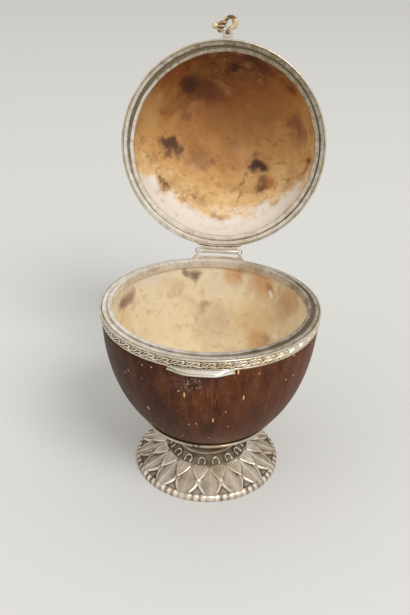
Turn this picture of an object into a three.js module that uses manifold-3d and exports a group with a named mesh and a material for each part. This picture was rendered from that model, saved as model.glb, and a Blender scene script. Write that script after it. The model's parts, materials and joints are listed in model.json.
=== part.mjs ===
// A hinged coconut box on a leaf foot: two polished shell halves with silvered metal mounts.
// Millimetres, +Z up, the hinge at the rear (+Y) and the hasp at the front (-Y).
// The bowl stands upright and the lid is shown open, at its stop.
import * as THREE from 'three';
import { mergeVertices } from 'three/addons/utils/BufferGeometryUtils.js';
import Module from 'manifold-3d';

const wasm = await Module();
wasm.setup();

// Seats and facets
const seat = 0.3; // gap left between pieces that are soldered, cemented or laid together
const ringFacets = 48;
const wireFacets = 36;
const wireSides = 5;
const screwFacets = 16;

// Bowl shell
const bellyRadius = 53.4;
const bellyDrop = 4; // the shell is widest this far below the ledge
const shellDepth = 71; // from the belly down to the shell's end
const shellFullness = 2.1; // 2 is an ellipse, more is squarer
const shellWall = 3.8;
const mountRebate = 1; // the shell is filed back this much where the band goes on
const bowlOuterSteps = 8;
const bowlInnerSteps = 7;

// Lid shell
const lidDepth = 46;
const lidOuterSteps = 6;
const lidInnerSteps = 5;

// Rim mounts, the same section on the bowl and, upside down, on the lid
const ledgeThickness = 1;
const ledgeWidth = 1.8; // flat ledge between the groove and the outer wire
const grooveWidth = 1.2;
const grooveDepth = 0.5;
const lipWidth = 1.6;
const lipRise = 0.6; // the bowl's lip stands this far above its ledge
const skirtDepth = 2.4; // inner skirt that grips the shell's mouth
const skirtThickness = 0.8;
const jointGap = 0.3; // between the two ledges when the box is shut
const wireThickness = 1.1;
const bandHeight = 3.3;
const bandThickness = 0.8;
const leafRelief = 0.6;
const leafCount = 48;
const leafColumns = 3;

// Foot
const footRadius = 38;
const footRimWidth = 2.4;
const footRimHeight = 0.9;
const footRimRound = 0.3; // the rim's outer edges are rubbed off by this much
const footSheet = 0.9;
const footHollow = 0.2; // share of the slope that sags between the shoulder and the edge
const shoulderRadius = 15.6;
const shoulderHeight = 12.2; // flat top of the foot, which the neck stands on
const petalCount = 16;
const petalColumns = 6;
const petalRelief = 1.3;
const petalVein = 0.3; // share of the relief that the groove along a leaf's middle takes away
const petalTurn = -3.75; // degrees, where the first inner leaf stands from the front
const outerPetalShare = 0.7; // relief of the outer leaves beside the inner ones
// Places on the slope, as shares of the way from the shoulder to the edge
const dishRings = [0, 0.16, 0.24, 0.33, 0.49, 0.65, 0.78, 0.92, 1];
const petalRoot = 0.2; // both rings of leaves rise here
const innerPetalTip = 0.65;
const outerPetalNarrows = 0.69;
const outerPetalTip = 1.1; // where the outer leaves would meet a point, if the edge didn't cut them off

// Cup and neck under the shell
const cupSheet = 1;
const cupHold = 11.4; // the cup's edge stands this far above the shell's end
const cupSteps = 3;
const neckRadius = 13.2;
const neckRise = 6.8; // from the foot's shoulder up to the shell's end
const neckFloor = 1.3;
const neckFlare = 1.4; // the neck widens this much where it runs into the cup
const neckCrown = 0.3; // and this much at the neck's top, inside the flare
const neckBeadRise = 2; // height of the moulding round the neck's foot
const neckBeadSwell = 0.6;
const cupWireThickness = 1.5;
const wireFit = 0.1; // more room behind a hoop, for its flats

// Fixing through the shell's end
const screwRadius = 1.9;
const screwHeadRadius = 4.2;
const screwHeadHeight = 1.6;
const washerRadius = 5.5;
const washerThickness = 0.8;
const nutRadius = 3.8;
const nutThickness = 2.4;
const boltFit = 0.35; // round the screw's shank
const screwProud = 1; // how far the screw's end stands out of the nut

// Hinge
const hingeOffset = 2.7; // from the outside of the mounts to the pin
const hingeRise = 2.35; // from the joint plane up to the pin
const knuckleRadius = 1.4;
const pinRadius = 0.6;
const pinFit = 0.15;
const barrelHalf = 12.1; // half the length over the outer knuckles
const slotHalf = 10.75; // half the gap between the bowl's ears
const bracketHalf = 14.3;
const bracketSheet = 1.1;
const bracketFoot = 0.6; // from the band's foot up to the bracket's
const slotFloor = 0.5; // the slot between the ears goes this far below the ledge
const flareFoot = 0.6; // the bracket narrows from this far below the ledge
const flareTop = 1.6; // to this far above it
const earFoot = 2; // the ears begin this far above the bracket's foot
const earDepth = 2.2; // how far an ear stands out at its foot
const sheetOverlap = 0.6; // how far ears, web and lugs run into the sheet behind them
const pinHead = 0.5;
const pinHeadShare = 1.7; // of the pin's radius
const leafSheet = 1;
const leafLow = 0.2; // from the lid's ledge to the leaf's lower edge
const leafTop = 0.8; // from the leaf's upper edge to the end of the lid's mounts
const webShare = 0.8; // of the knuckle's radius, where the web runs into the knuckle
const openAngle = 100; // degrees, where the lid stops

// Catch plate under the bowl's band
const catchHalfAngle = 16; // degrees
const catchEnd = 0.9; // how far its ends stand out
const catchReach = 2.2; // how much further it stands out in the middle
const catchSpread = 1.6; // the middle is this much broader than an even taper gives
const catchThickness = 1.2;
const catchEdge = 0.9; // thickness of the lip
const catchLip = 0.6; // from the wire's underside up to the lip's upper edge
const catchFlat = 0.8; // flat strip along the band's foot
const catchColumns = 14;

// Hasp
const haspPinOut = 2.9; // from the outside of the lid's mounts to the hasp's pin
const haspEarHalf = 2.5;
const haspKnuckleHalf = 1.05;
const haspKnuckleRadius = 1.1;
const haspPinRadius = 0.5;
const haspPinProud = 0.35;
const stapleLow = 0.4; // from the lid's ledge to the staple's lower edge
const strapDepth = 1.8; // front to back, when the hasp stands up
const strapSides = 8;
const strapSteps = 14;
// The strap's middle line, seen from the front with the hasp standing up, and half its width there
const strapPath = [[0, 0.3], [0.6, 1.3], [2.2, 2.3], [3.3, 4.2], [3.2, 6.4], [2.3, 8.2], [0.9, 8.9], [-0.4, 8.1],
  [-1.3, 6.4]];
const strapHalves = [0.8, 0.9, 1.3, 1.75, 1.6, 1.2, 0.95, 0.9, 0.8];
// Half section of the fluted bell, as radius and distance from the bead's middle
const bellOutline = [[0, 0.8], [1.2, 1.2], [2.1, 2.7], [2.7, 4.3], [3, 6], [2.1, 5.4], [0, 4.9]];
const bellFlutes = 8;
const bellFluting = 0.16; // share of the radius at the bell's mouth
const bellPetals = 0.4; // how far the petals' ends stand out beyond the mouth
const bellFlatness = 0.7; // depth over width
const bellTilt = -8; // degrees, where the mouth points from straight to the right
const beadPlace = [-6.9, 5.1];
const beadRadius = 1.7;

// Worked out from the sizes above
const degrees = Math.PI / 180;
const shellEnd = shoulderHeight + neckRise; // underside of the shell
const bellyHeight = shellEnd + shellDepth;
const rimHeight = bellyHeight + bellyDrop; // top of the bowl's ledge
const cupHeight = shellEnd + cupHold;
const mountRadius = bellyRadius - mountRebate; // shell under the bands
const bandBack = mountRadius + seat;
const ledgeOuter = bandBack + seat;
const ledgeInner = ledgeOuter - ledgeWidth;
const lipOuter = ledgeInner - grooveWidth;
const lipInner = lipOuter - lipWidth;
const wireRadius = wireThickness / 2;
const outerWire = ledgeOuter + seat + wireRadius;
const mountOuter = outerWire + wireRadius; // outermost reach of the mounts
const jointPlane = rimHeight + jointGap / 2;
const lidLipDrop = lipRise / 2 + seat; // the lid's lip stands back to clear the bowl's
const lidRingThickness = ledgeThickness + lipRise / 2;
const shellMouth = lipInner + skirtThickness + seat;
const hingeY = mountOuter + hingeOffset;
const hingeZ = jointPlane + hingeRise;

const silvered = new THREE.MeshStandardMaterial({ color: 0xb9ad98, roughness: 0.38, metalness: 1 });
const foliate = new THREE.MeshStandardMaterial({ color: 0xa99c80, roughness: 0.45, metalness: 1 });
const coconut = new THREE.MeshStandardMaterial({ color: 0x4a2a1c, roughness: 0.35, metalness: 0 });
const iron = new THREE.MeshStandardMaterial({ color: 0x8a857c, roughness: 0.5, metalness: 1 });

// Point on a shell's half section: turn runs from 0 at the belly to 90 degrees at the end.
function shellPoint(radius, depth, turn) {
  const power = 2 / shellFullness;
  return [radius * Math.cos(turn) ** power, depth * Math.sin(turn) ** power];
}

// Turn at which the half section has the radius asked for.
function turnAtRadius(radius, depth, r) {
  return Math.acos(Math.min(1, (r / radius) ** (shellFullness / 2)));
}

// Turn at which the half section has the depth asked for.
function turnAtDepth(depth, d) {
  return Math.asin(Math.min(1, (d / depth) ** (shellFullness / 2)));
}

// Points along the half section between two turns, as [radius, depth below the belly].
function shellArc(radius, depth, from, to, steps) {
  return Array.from({ length: steps + 1 }, (_, i) =>
    shellPoint(radius, depth, from + ((to - from) * i) / steps));
}

// A ring or dish: a closed outline of [radius, height] turned about the upright axis. Angles run from the
// front towards +X. A relief moves each point out and up, and each patch is split along its shorter
// diagonal, so that a raised leaf is as even as its two halves are.
function turned(outline, facets, relief = () => [0, 0]) {
  const area = outline.reduce((sum, [r, z], i) => {
    const [nextR, nextZ] = outline[(i + 1) % outline.length];
    return sum + r * nextZ - nextR * z;
  }, 0);
  const section = area > 0 ? outline : [...outline].reverse();
  const points = [];
  for (let i = 0; i < facets; i++) {
    const angle = (2 * Math.PI * i) / facets;
    for (const [r, z] of section) {
      const [out, up] = relief(angle, r, z);
      points.push(new THREE.Vector3(Math.sin(angle) * (r + out), -Math.cos(angle) * (r + out), z + up));
    }
  }
  const index = [];
  for (let i = 0; i < facets; i++) {
    for (let j = 0; j < section.length; j++) {
      const here = i * section.length;
      const there = ((i + 1) % facets) * section.length;
      const next = (j + 1) % section.length;
      const [a, b, c, d] = [here + j, there + j, there + next, here + next];
      const straight = points[a].distanceTo(points[c]) <= points[b].distanceTo(points[d]);
      index.push(...(straight ? [a, b, c, a, c, d] : [a, b, d, b, c, d]));
    }
  }
  const geometry = new THREE.BufferGeometry().setFromPoints(points);
  geometry.setIndex(index);
  geometry.computeVertexNormals();
  return geometry;
}

// A wire bent to a hoop.
function hoop(radius, height, thickness) {
  const section = Array.from({ length: wireSides }, (_, i) => {
    const turn = (2 * Math.PI * (i + 0.5)) / wireSides;
    return [radius + (thickness / 2) * Math.cos(turn), height + (thickness / 2) * Math.sin(turn)];
  });
  return turned(section, wireFacets);
}

// Solid for joining and cutting, and back to a geometry.
function solid(geometry) {
  const bare = geometry.clone();
  bare.deleteAttribute('normal');
  bare.deleteAttribute('uv');
  const merged = mergeVertices(bare, 1e-4);
  return new wasm.Manifold(new wasm.Mesh({
    numProp: 3,
    vertProperties: new Float32Array(merged.attributes.position.array),
    triVerts: new Uint32Array(merged.index.array),
  }));
}

function surface(body) {
  const { numProp, numVert, vertProperties, triVerts } = body.getMesh();
  const positions = new Float32Array(numVert * 3);
  for (let i = 0; i < numVert; i++) {
    positions.set(vertProperties.subarray(i * numProp, i * numProp + 3), i * 3);
  }
  const geometry = new THREE.BufferGeometry();
  geometry.setAttribute('position', new THREE.BufferAttribute(positions, 3));
  geometry.setIndex(new THREE.BufferAttribute(triVerts, 1));
  geometry.computeVertexNormals();
  return geometry;
}

// A rod along X.
function rodAlongX(radius, from, to, y, z, sides = 16) {
  return new THREE.CylinderGeometry(radius, radius, to - from, sides)
    .rotateZ(Math.PI / 2)
    .translate((from + to) / 2, y, z);
}

// A plate cut to an outline in the YZ plane, between two places along X.
function plateAlongX(outline, from, to) {
  const shape = new THREE.Shape(outline.map(([y, z]) => new THREE.Vector2(y, z)));
  return new THREE.ExtrudeGeometry(shape, { depth: to - from, bevelEnabled: false })
    .rotateY(Math.PI / 2)
    .rotateX(Math.PI / 2)
    .translate(from, 0, 0);
}

// A sheet cut to an outline in the XZ plane and bent round the mounts.
function bentSheet(outline, inner, outer, front) {
  const shape = new THREE.Shape(outline.map(([x, z]) => new THREE.Vector2(x, z)));
  const reach = outer + 1;
  const block = new THREE.ExtrudeGeometry(shape, { depth: reach, bevelEnabled: false })
    .rotateX(Math.PI / 2)
    .translate(0, front ? 0 : reach, 0);
  const heights = outline.map(([, z]) => z);
  const low = Math.min(...heights) - 1;
  const high = Math.max(...heights) + 1;
  const ring = turned([[inner, low], [outer, low], [outer, high], [inner, high]], 2 * ringFacets);
  return solid(block).intersect(solid(ring));
}

// Bowl shell: the outside runs from the end up to the rebate, the inside back down.
function bowlShell() {
  const outerEnd = turnAtRadius(bellyRadius, shellDepth, screwRadius + boltFit);
  const innerRadius = shellMouth;
  const innerDepth = shellDepth - shellWall;
  const innerEnd = turnAtRadius(innerRadius, innerDepth, screwRadius + boltFit);
  const rebateDepth = bellyHeight - bandFoot(bowlMount) + seat;
  const outer = shellArc(bellyRadius, shellDepth, outerEnd, turnAtDepth(shellDepth, rebateDepth),
    bowlOuterSteps);
  const inner = shellArc(innerRadius, innerDepth, 0, innerEnd, bowlInnerSteps);
  const top = rimHeight - ledgeThickness - seat;
  return turned([
    ...outer.map(([r, d]) => [r, bellyHeight - d]),
    [mountRadius, bellyHeight - rebateDepth],
    [mountRadius, top],
    [shellMouth, top],
    ...inner.map(([r, d]) => [r, bellyHeight - d]),
  ], ringFacets);
}

// Lid shell, shut: a dome over the joint. Its mouth is trimmed straight as far as the skirt reaches.
function lidShell() {
  const rebateTop = bandFoot(lidMount) + seat;
  const skirtTop = lidMount(lidRingThickness + skirtDepth) + seat;
  const innerDepth = jointPlane + lidDepth - shellWall - skirtTop;
  const edge = lidMount(lidRingThickness + seat);
  const outer = shellArc(bellyRadius, lidDepth, turnAtDepth(lidDepth, rebateTop - jointPlane),
    Math.PI / 2, lidOuterSteps);
  const inner = shellArc(shellMouth, innerDepth, Math.PI / 2, 0, lidInnerSteps);
  const outline = [
    [mountRadius, edge],
    [mountRadius, rebateTop],
    ...outer.map(([r, d]) => [r, jointPlane + d]),
    ...inner.map(([r, d]) => [r, skirtTop + d]),
    [shellMouth, edge],
  ];
  const points = [...outline, outline[0]].map(([r, z]) => new THREE.Vector2(Math.max(r, 0), z));
  return new THREE.LatheGeometry(points, ringFacets).rotateX(Math.PI / 2);
}

// Heights of the mounts, counted from the ledge's face away from the joint.
function bowlMount(away) {
  return rimHeight - away;
}

function lidMount(away) {
  return rimHeight + jointGap + away;
}

// Where the lower hoop of a mount ends.
function bandFoot(mount) {
  return mount(wireRadius + wireRadius + bandHeight + 2 * seat + wireThickness);
}

// Ledge, groove, lip and inner skirt in one turned ring.
function rimRing(mount, lipOffset, thickness) {
  return turned([
    [lipInner, mount(lipOffset)],
    [lipOuter, mount(lipOffset)],
    [lipOuter, mount(Math.max(lipOffset, 0) + grooveDepth)],
    [ledgeInner, mount(Math.max(lipOffset, 0) + grooveDepth)],
    [ledgeInner, mount(0)],
    [ledgeOuter, mount(0)],
    [ledgeOuter, mount(thickness)],
    [lipInner + skirtThickness, mount(thickness)],
    [lipInner + skirtThickness, mount(thickness + skirtDepth)],
    [lipInner, mount(thickness + skirtDepth)],
  ], ringFacets);
}

function bandMiddle(mount) {
  return mount(wireThickness + seat + bandHeight / 2);
}

// Running leaves: a stem with lobes above and below it by turns.
function leafBand(mount) {
  const middle = bandMiddle(mount);
  const face = bandBack + bandThickness;
  const half = bandHeight / 2;
  const rows = [-1, -0.4, 0.4, 1]; // shares of half the height
  const relief = (angle, radius, z) => {
    const row = (z - middle) / half;
    if (radius < face - 0.1 || Math.abs(row) > 0.9) return [0, 0];
    const wave = Math.cos(leafCount * angle + (row > 0 ? 0 : (2 * Math.PI) / 3));
    return [leafRelief * Math.max(0.2, wave), 0];
  };
  return turned([
    ...rows.map((row) => [face, middle + row * half]),
    [bandBack, middle + half],
    [bandBack, middle - half],
  ], leafCount * leafColumns, relief);
}

// The lid's band, plain with a raised middle.
function plainBand(mount) {
  const middle = bandMiddle(mount);
  const face = bandBack + bandThickness;
  const half = bandHeight / 2;
  return turned([
    [bandBack, middle - half],
    [face, middle - half],
    [face + leafRelief / 2, middle - half / 2],
    [face + leafRelief / 2, middle + half / 2],
    [face, middle + half],
    [bandBack, middle + half],
  ], ringFacets);
}

// Height of the foot's upper face: a flat shoulder, then a hollow slope out to the edge.
function footHeight(radius) {
  const along = (footRadius - seat - radius) / (footRadius - seat - shoulderRadius);
  const edge = footRimHeight + seat + footSheet;
  const slope = (1 - footHollow) * along + footHollow * along * along;
  return edge + (shoulderHeight - edge) * Math.min(1, slope);
}

// Two rings of leaves, each with a groove along its middle: pointed ones over broad ones, which stand between
// them, half a pitch round. share is the place on the slope.
function petalHeight(angle, share) {
  if (share < petalRoot) return 0;
  const turn = ((angle / degrees - petalTurn) * petalCount) / 360;
  const leaf = (shift, narrows, tip) => {
    const across = Math.abs(turn + shift - Math.round(turn + shift)) * 2;
    const width = 1 - Math.max(0, (share - narrows) / (tip - narrows));
    if (across >= width) return 0;
    return Math.sqrt(1 - (across / width) ** 2) * (1 - petalVein * Math.max(0, 1 - (3 * across) / width));
  };
  const inner = leaf(0, petalRoot, innerPetalTip);
  const outer = leaf(0.5, outerPetalNarrows, outerPetalTip);
  return petalRelief * Math.max(inner, outerPetalShare * outer);
}

function footDish() {
  const edge = footRadius - seat;
  const bore = neckRadius - cupSheet;
  const place = (share) => shoulderRadius + (edge - shoulderRadius) * share;
  const upper = dishRings.map((share) => [place(share), footHeight(place(share))]);
  const under = [1, 0.5, 0].map((share) => [place(share), footHeight(place(share)) - footSheet]);
  const relief = (angle, radius, z) => {
    const ring = upper.findIndex(([r, top]) => r === radius && top === z);
    return [0, ring > 0 && ring < upper.length - 1 ? petalHeight(angle, dishRings[ring]) : 0];
  };
  return turned([
    [bore, shoulderHeight],
    ...upper,
    ...under,
    [bore, shoulderHeight - footSheet],
  ], petalCount * petalColumns, relief);
}

function footRim() {
  const inner = footRadius - footRimWidth;
  return turned([
    [inner, 0],
    [footRadius - footRimRound, 0],
    [footRadius, footRimHeight / 2],
    [footRadius - footRimRound, footRimHeight],
    [inner, footRimHeight],
  ], ringFacets);
}

// Cup that holds the shell's end, with the waisted neck that joins it to the foot.
function cupAndNeck() {
  const wall = (away, fromRadius) => {
    const [radius, depth] = [bellyRadius + away, shellDepth + away];
    const from = turnAtRadius(radius, depth, fromRadius);
    return shellArc(radius, depth, from, turnAtDepth(depth, bellyHeight - cupHeight), cupSteps)
      .map(([r, d]) => [r, bellyHeight - d]);
  };
  const bore = screwRadius + boltFit;
  const floor = shellEnd - seat - neckFloor;
  const foot = shoulderHeight + seat;
  const hollow = neckRadius - cupSheet;
  return turned([
    ...wall(seat, bore),
    ...wall(seat + cupSheet, neckRadius + neckFlare).reverse(),
    [neckRadius + neckCrown, floor],
    [neckRadius, (floor + foot) / 2],
    [neckRadius + neckBeadSwell, foot + neckBeadRise],
    [shoulderRadius - neckCrown, foot + neckBeadRise / 2],
    [shoulderRadius, foot],
    [hollow, foot],
    [hollow, floor],
    [bore, floor],
  ], ringFacets);
}

function cupWire() {
  const thick = cupWireThickness / 2;
  const away = seat + thick + wireFit;
  const height = cupHeight + seat + thick;
  const turn = turnAtDepth(shellDepth + away, bellyHeight - height);
  return hoop(shellPoint(bellyRadius + away, shellDepth + away, turn)[0], height, cupWireThickness);
}

// Catch plate: a crescent that slopes out from the band's foot to a lip, and thins to its ends.
function catchPlate() {
  const half = catchHalfAngle * degrees;
  const back = bellyRadius + seat;
  const face = bandBack + wireThickness + seat;
  const low = bandFoot(bowlMount) - 2 * seat;
  const high = bandFoot(bowlMount) + wireThickness;
  const sections = Array.from({ length: catchColumns + 1 }, (_, i) => {
    const along = (2 * i) / catchColumns - 1;
    const lip = face + catchEnd + catchReach * Math.min(1, catchSpread * (1 - Math.abs(along)));
    return [
      [back, low - catchThickness],
      [lip, low + catchLip - catchEdge],
      [lip, low + catchLip],
      [face + catchFlat, high],
      [face, high],
      [face, low],
      [back, low],
    ].map(([r, z]) => [r * Math.sin(along * half), -r * Math.cos(along * half), z]);
  });
  return ribbon(sections, 5);
}

// Closes a row of equal sections into one body. Its flat ends are fanned from the point numbered hub.
function ribbon(sections, hub = 0) {
  const sides = sections[0].length;
  const far = (sections.length - 1) * sides;
  const index = [];
  for (let i = 0; i < sections.length - 1; i++) {
    for (let j = 0; j < sides; j++) {
      const a = i * sides + j;
      const b = i * sides + ((j + 1) % sides);
      index.push(a, b + sides, b, a, a + sides, b + sides);
    }
  }
  for (let k = 1; k < sides - 1; k++) {
    const [b, c] = [(hub + k) % sides, (hub + k + 1) % sides];
    index.push(hub, b, c, far + c, far + b, far + hub);
  }
  const geometry = new THREE.BufferGeometry();
  geometry.setAttribute('position', new THREE.Float32BufferAttribute(sections.flat(2), 3));
  geometry.setIndex(index);
  geometry.computeVertexNormals();
  return geometry;
}

// Bowl half of the hinge: a sheet bent round the band with two ears that flare at the foot.
function hingeBracket() {
  const inner = mountOuter + seat;
  const low = bandFoot(bowlMount) + bracketFoot;
  const [flare, top, slot] = [rimHeight - flareFoot, rimHeight + flareTop, rimHeight - slotFloor];
  const sheet = bentSheet([
    [-bracketHalf, low],
    [bracketHalf, low],
    [bracketHalf, flare],
    [barrelHalf, top],
    [slotHalf, top],
    [slotHalf, slot],
    [-slotHalf, slot],
    [-slotHalf, top],
    [-barrelHalf, top],
    [-bracketHalf, flare],
  ], inner, inner + bracketSheet, false);
  const root = Math.sqrt(inner ** 2 - barrelHalf ** 2) + sheetOverlap;
  const ear = [
    [root, low + earFoot],
    [root + earDepth, low + earFoot],
    [hingeY + knuckleRadius, hingeZ],
    [hingeY, hingeZ + knuckleRadius],
    [root, top],
  ];
  let body = sheet;
  for (const from of [-barrelHalf, slotHalf]) {
    const to = from + barrelHalf - slotHalf;
    body = body.add(solid(plateAlongX(ear, from, to)));
    body = body.add(solid(rodAlongX(knuckleRadius, from, to, hingeY, hingeZ)));
  }
  const hole = rodAlongX(pinRadius + pinFit, -bracketHalf, bracketHalf, hingeY, hingeZ, 12);
  return surface(body.subtract(solid(hole)));
}

function hingePin() {
  const reach = barrelHalf + seat;
  const end = reach + pinHead;
  const head = pinHeadShare * pinRadius;
  return surface(solid(rodAlongX(pinRadius, -end, end, hingeY, hingeZ, 12))
    .add(solid(rodAlongX(head, -end, -reach, hingeY, hingeZ, 12)))
    .add(solid(rodAlongX(head, reach, end, hingeY, hingeZ, 12))));
}

// Lid half of the hinge, shut: a leaf bent round the lid's band with one long knuckle.
function hingeLeaf() {
  const inner = mountOuter + seat;
  const barrel = slotHalf - seat;
  const low = lidMount(leafLow);
  const step = hingeZ + knuckleRadius + seat; // above the bowl's ears
  const high = bandFoot(lidMount) - leafTop;
  const sheet = bentSheet([
    [-barrelHalf, step],
    [-barrel, step],
    [-barrel, low],
    [barrel, low],
    [barrel, step],
    [barrelHalf, step],
    [barrelHalf, high],
    [-barrelHalf, high],
  ], inner, inner + leafSheet, false);
  const knuckle = solid(rodAlongX(knuckleRadius, -barrel, barrel, hingeY, hingeZ));
  const root = Math.sqrt(inner ** 2 - barrel ** 2) + sheetOverlap;
  const web = solid(plateAlongX([
    [root, low],
    [hingeY - knuckleRadius / 2, hingeZ - knuckleRadius * webShare],
    [hingeY + knuckleRadius / 4, hingeZ + knuckleRadius * webShare],
    [root, step + knuckleRadius / 2],
  ], -barrel, barrel));
  const clear = turned([[1, low - 1], [inner, low - 1], [inner, high + 1], [1, high + 1]], 2 * ringFacets);
  const hole = rodAlongX(pinRadius + pinFit, -bracketHalf, bracketHalf, hingeY, hingeZ, 12);
  return surface(sheet.add(web).subtract(solid(clear)).add(knuckle).subtract(solid(hole)));
}

// Staple for the hasp on the lid's front, shut.
function haspStaple() {
  const inner = mountOuter + seat;
  const pinY = -(mountOuter + haspPinOut);
  const pinZ = bandMiddle(lidMount);
  const low = lidMount(stapleLow);
  const high = bandFoot(lidMount) - leafTop;
  let body = bentSheet([[-haspEarHalf, low], [haspEarHalf, low], [haspEarHalf, high], [-haspEarHalf, high]],
    inner, inner + leafSheet, true);
  const lug = [
    [-inner - sheetOverlap, pinZ - haspKnuckleRadius],
    [-inner - sheetOverlap, pinZ + haspKnuckleRadius],
    [pinY, pinZ + haspKnuckleRadius],
    [pinY, pinZ - haspKnuckleRadius],
  ];
  for (const from of [-haspEarHalf, haspKnuckleHalf + seat]) {
    const to = from + haspEarHalf - haspKnuckleHalf - seat;
    body = body.add(solid(plateAlongX(lug, from, to)));
    body = body.add(solid(rodAlongX(haspKnuckleRadius, from, to, pinY, pinZ)));
  }
  const hole = rodAlongX(haspPinRadius + pinFit, -haspEarHalf - 1, haspEarHalf + 1, pinY, pinZ, 12);
  return surface(body.subtract(solid(hole)));
}

function haspPin() {
  const reach = haspEarHalf + haspPinProud;
  return rodAlongX(haspPinRadius, -reach, reach, -(mountOuter + haspPinOut), bandMiddle(lidMount), 12);
}

// Strap of the hasp: a crescent that tapers to both ends and bends over at the top.
function haspStrap() {
  const path = new THREE.CatmullRomCurve3(strapPath.map(([x, y]) => new THREE.Vector3(x, y, 0)));
  const sections = Array.from({ length: strapSteps + 1 }, (_, i) => {
    const t = i / strapSteps;
    const [middle, along] = [path.getPoint(t), path.getTangent(t)];
    const place = t * (strapHalves.length - 1);
    const before = Math.min(Math.floor(place), strapHalves.length - 2);
    const half = THREE.MathUtils.lerp(strapHalves[before], strapHalves[before + 1], place - before);
    return Array.from({ length: strapSides }, (_, j) => {
      const turn = (2 * Math.PI * j) / strapSides;
      const across = half * Math.cos(turn);
      return [middle.x + along.y * across, middle.y - along.x * across, (strapDepth / 2) * Math.sin(turn)];
    });
  });
  return ribbon(sections);
}

// Fluted bell of the hasp, its mouth to the right.
function haspBell() {
  const bell = new THREE.LatheGeometry(bellOutline.map(([r, a]) => new THREE.Vector2(r, a)), 2 * bellFlutes);
  const mouth = Math.max(...bellOutline.map(([r]) => r));
  const position = bell.attributes.position;
  for (let i = 0; i < position.count; i++) {
    const [x, y, z] = [position.getX(i), position.getY(i), position.getZ(i)];
    const share = Math.hypot(x, z) / mouth;
    const wave = Math.cos(bellFlutes * Math.atan2(z, x)) * share ** 2;
    const flute = 1 + bellFluting * wave;
    position.setXYZ(i, x * flute, y + bellPetals * wave, z * flute * bellFlatness);
  }
  return bell.rotateZ((bellTilt - 90) * degrees).translate(...beadPlace, 0);
}

// Hasp, standing up from the front of the open lid. It is drawn with its pin at the origin, X to the side and
// Y outwards.
function hasp() {
  const bead = new THREE.SphereGeometry(beadRadius, 10, 7).translate(...beadPlace, 0);
  const knuckle = rodAlongX(haspKnuckleRadius, -haspKnuckleHalf, haspKnuckleHalf, 0, 0);
  const hole = rodAlongX(haspPinRadius + pinFit, -haspEarHalf, haspEarHalf, 0, 0, 12);
  let body = solid(haspStrap()).add(solid(haspBell())).add(solid(bead)).add(solid(knuckle)).subtract(solid(hole));
  for (const side of [-1, 1]) {
    const beside = new THREE.BoxGeometry(2 * haspEarHalf, 2 * (haspKnuckleRadius + seat), 4 * haspEarHalf);
    body = body.subtract(solid(beside.translate(side * (haspKnuckleHalf + haspEarHalf), 0, 0)));
  }
  return surface(body);
}

// Screw through the shell's end, with its washer inside the bowl and its nut under the neck's floor.
const neckUnderside = shellEnd - seat - neckFloor;
const washerTurn = turnAtRadius(shellMouth, shellDepth - shellWall, washerRadius);
const washerSeat = bellyHeight - shellPoint(shellMouth, shellDepth - shellWall, washerTurn)[1] + 2 * seat;

function fixingWasher() {
  return turned([
    [screwRadius + boltFit, washerSeat],
    [washerRadius, washerSeat],
    [washerRadius, washerSeat + washerThickness],
    [screwRadius + boltFit, washerSeat + washerThickness],
  ], screwFacets);
}

function fixingScrew() {
  const under = washerSeat + washerThickness + seat;
  const end = neckUnderside - seat - nutThickness - screwProud;
  const outline = [
    [0, end],
    [screwRadius, end],
    [screwRadius, under],
    [screwHeadRadius, under],
    [screwHeadRadius, under + screwHeadHeight * 0.4],
    [screwHeadRadius * 0.7, under + screwHeadHeight * 0.85],
    [0, under + screwHeadHeight],
  ];
  const points = outline.map(([r, z]) => new THREE.Vector2(r, z));
  return new THREE.LatheGeometry(points, screwFacets).rotateX(Math.PI / 2);
}

function fixingNut() {
  const top = neckUnderside - seat;
  const block = new THREE.CylinderGeometry(nutRadius, nutRadius, nutThickness, 6)
    .rotateX(Math.PI / 2).translate(0, 0, top - nutThickness / 2);
  const hole = new THREE.CylinderGeometry(screwRadius + boltFit, screwRadius + boltFit, nutThickness + 2, screwFacets)
    .rotateX(Math.PI / 2).translate(0, 0, top - nutThickness / 2);
  return surface(solid(block).subtract(solid(hole)));
}

function piece(name, geometry, material) {
  const mesh = new THREE.Mesh(geometry, material);
  mesh.name = name;
  return mesh;
}

const box = new THREE.Group();
box.add(
  piece('foot_rim', footRim(), silvered),
  piece('foot_dish', footDish(), silvered),
  piece('foot_cup', cupAndNeck(), silvered),
  piece('cup_wire', cupWire(), silvered),
  piece('bowl_shell', bowlShell(), coconut),
  piece('fixing_washer', fixingWasher(), iron),
  piece('fixing_screw', fixingScrew(), iron),
  piece('fixing_nut', fixingNut(), iron),
  piece('bowl_rim_ring', rimRing(bowlMount, -lipRise, ledgeThickness), silvered),
  piece('bowl_upper_wire', hoop(outerWire, bowlMount(wireRadius + 0.2), wireThickness), silvered),
  piece('bowl_leaf_band', leafBand(bowlMount), foliate),
  piece('bowl_lower_wire', hoop(bandBack + wireRadius, bandFoot(bowlMount) + wireRadius, wireThickness), silvered),
  piece('catch_plate', catchPlate(), silvered),
  piece('hinge_bracket', hingeBracket(), silvered),
  piece('hinge_pin', hingePin(), silvered),
);

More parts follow.
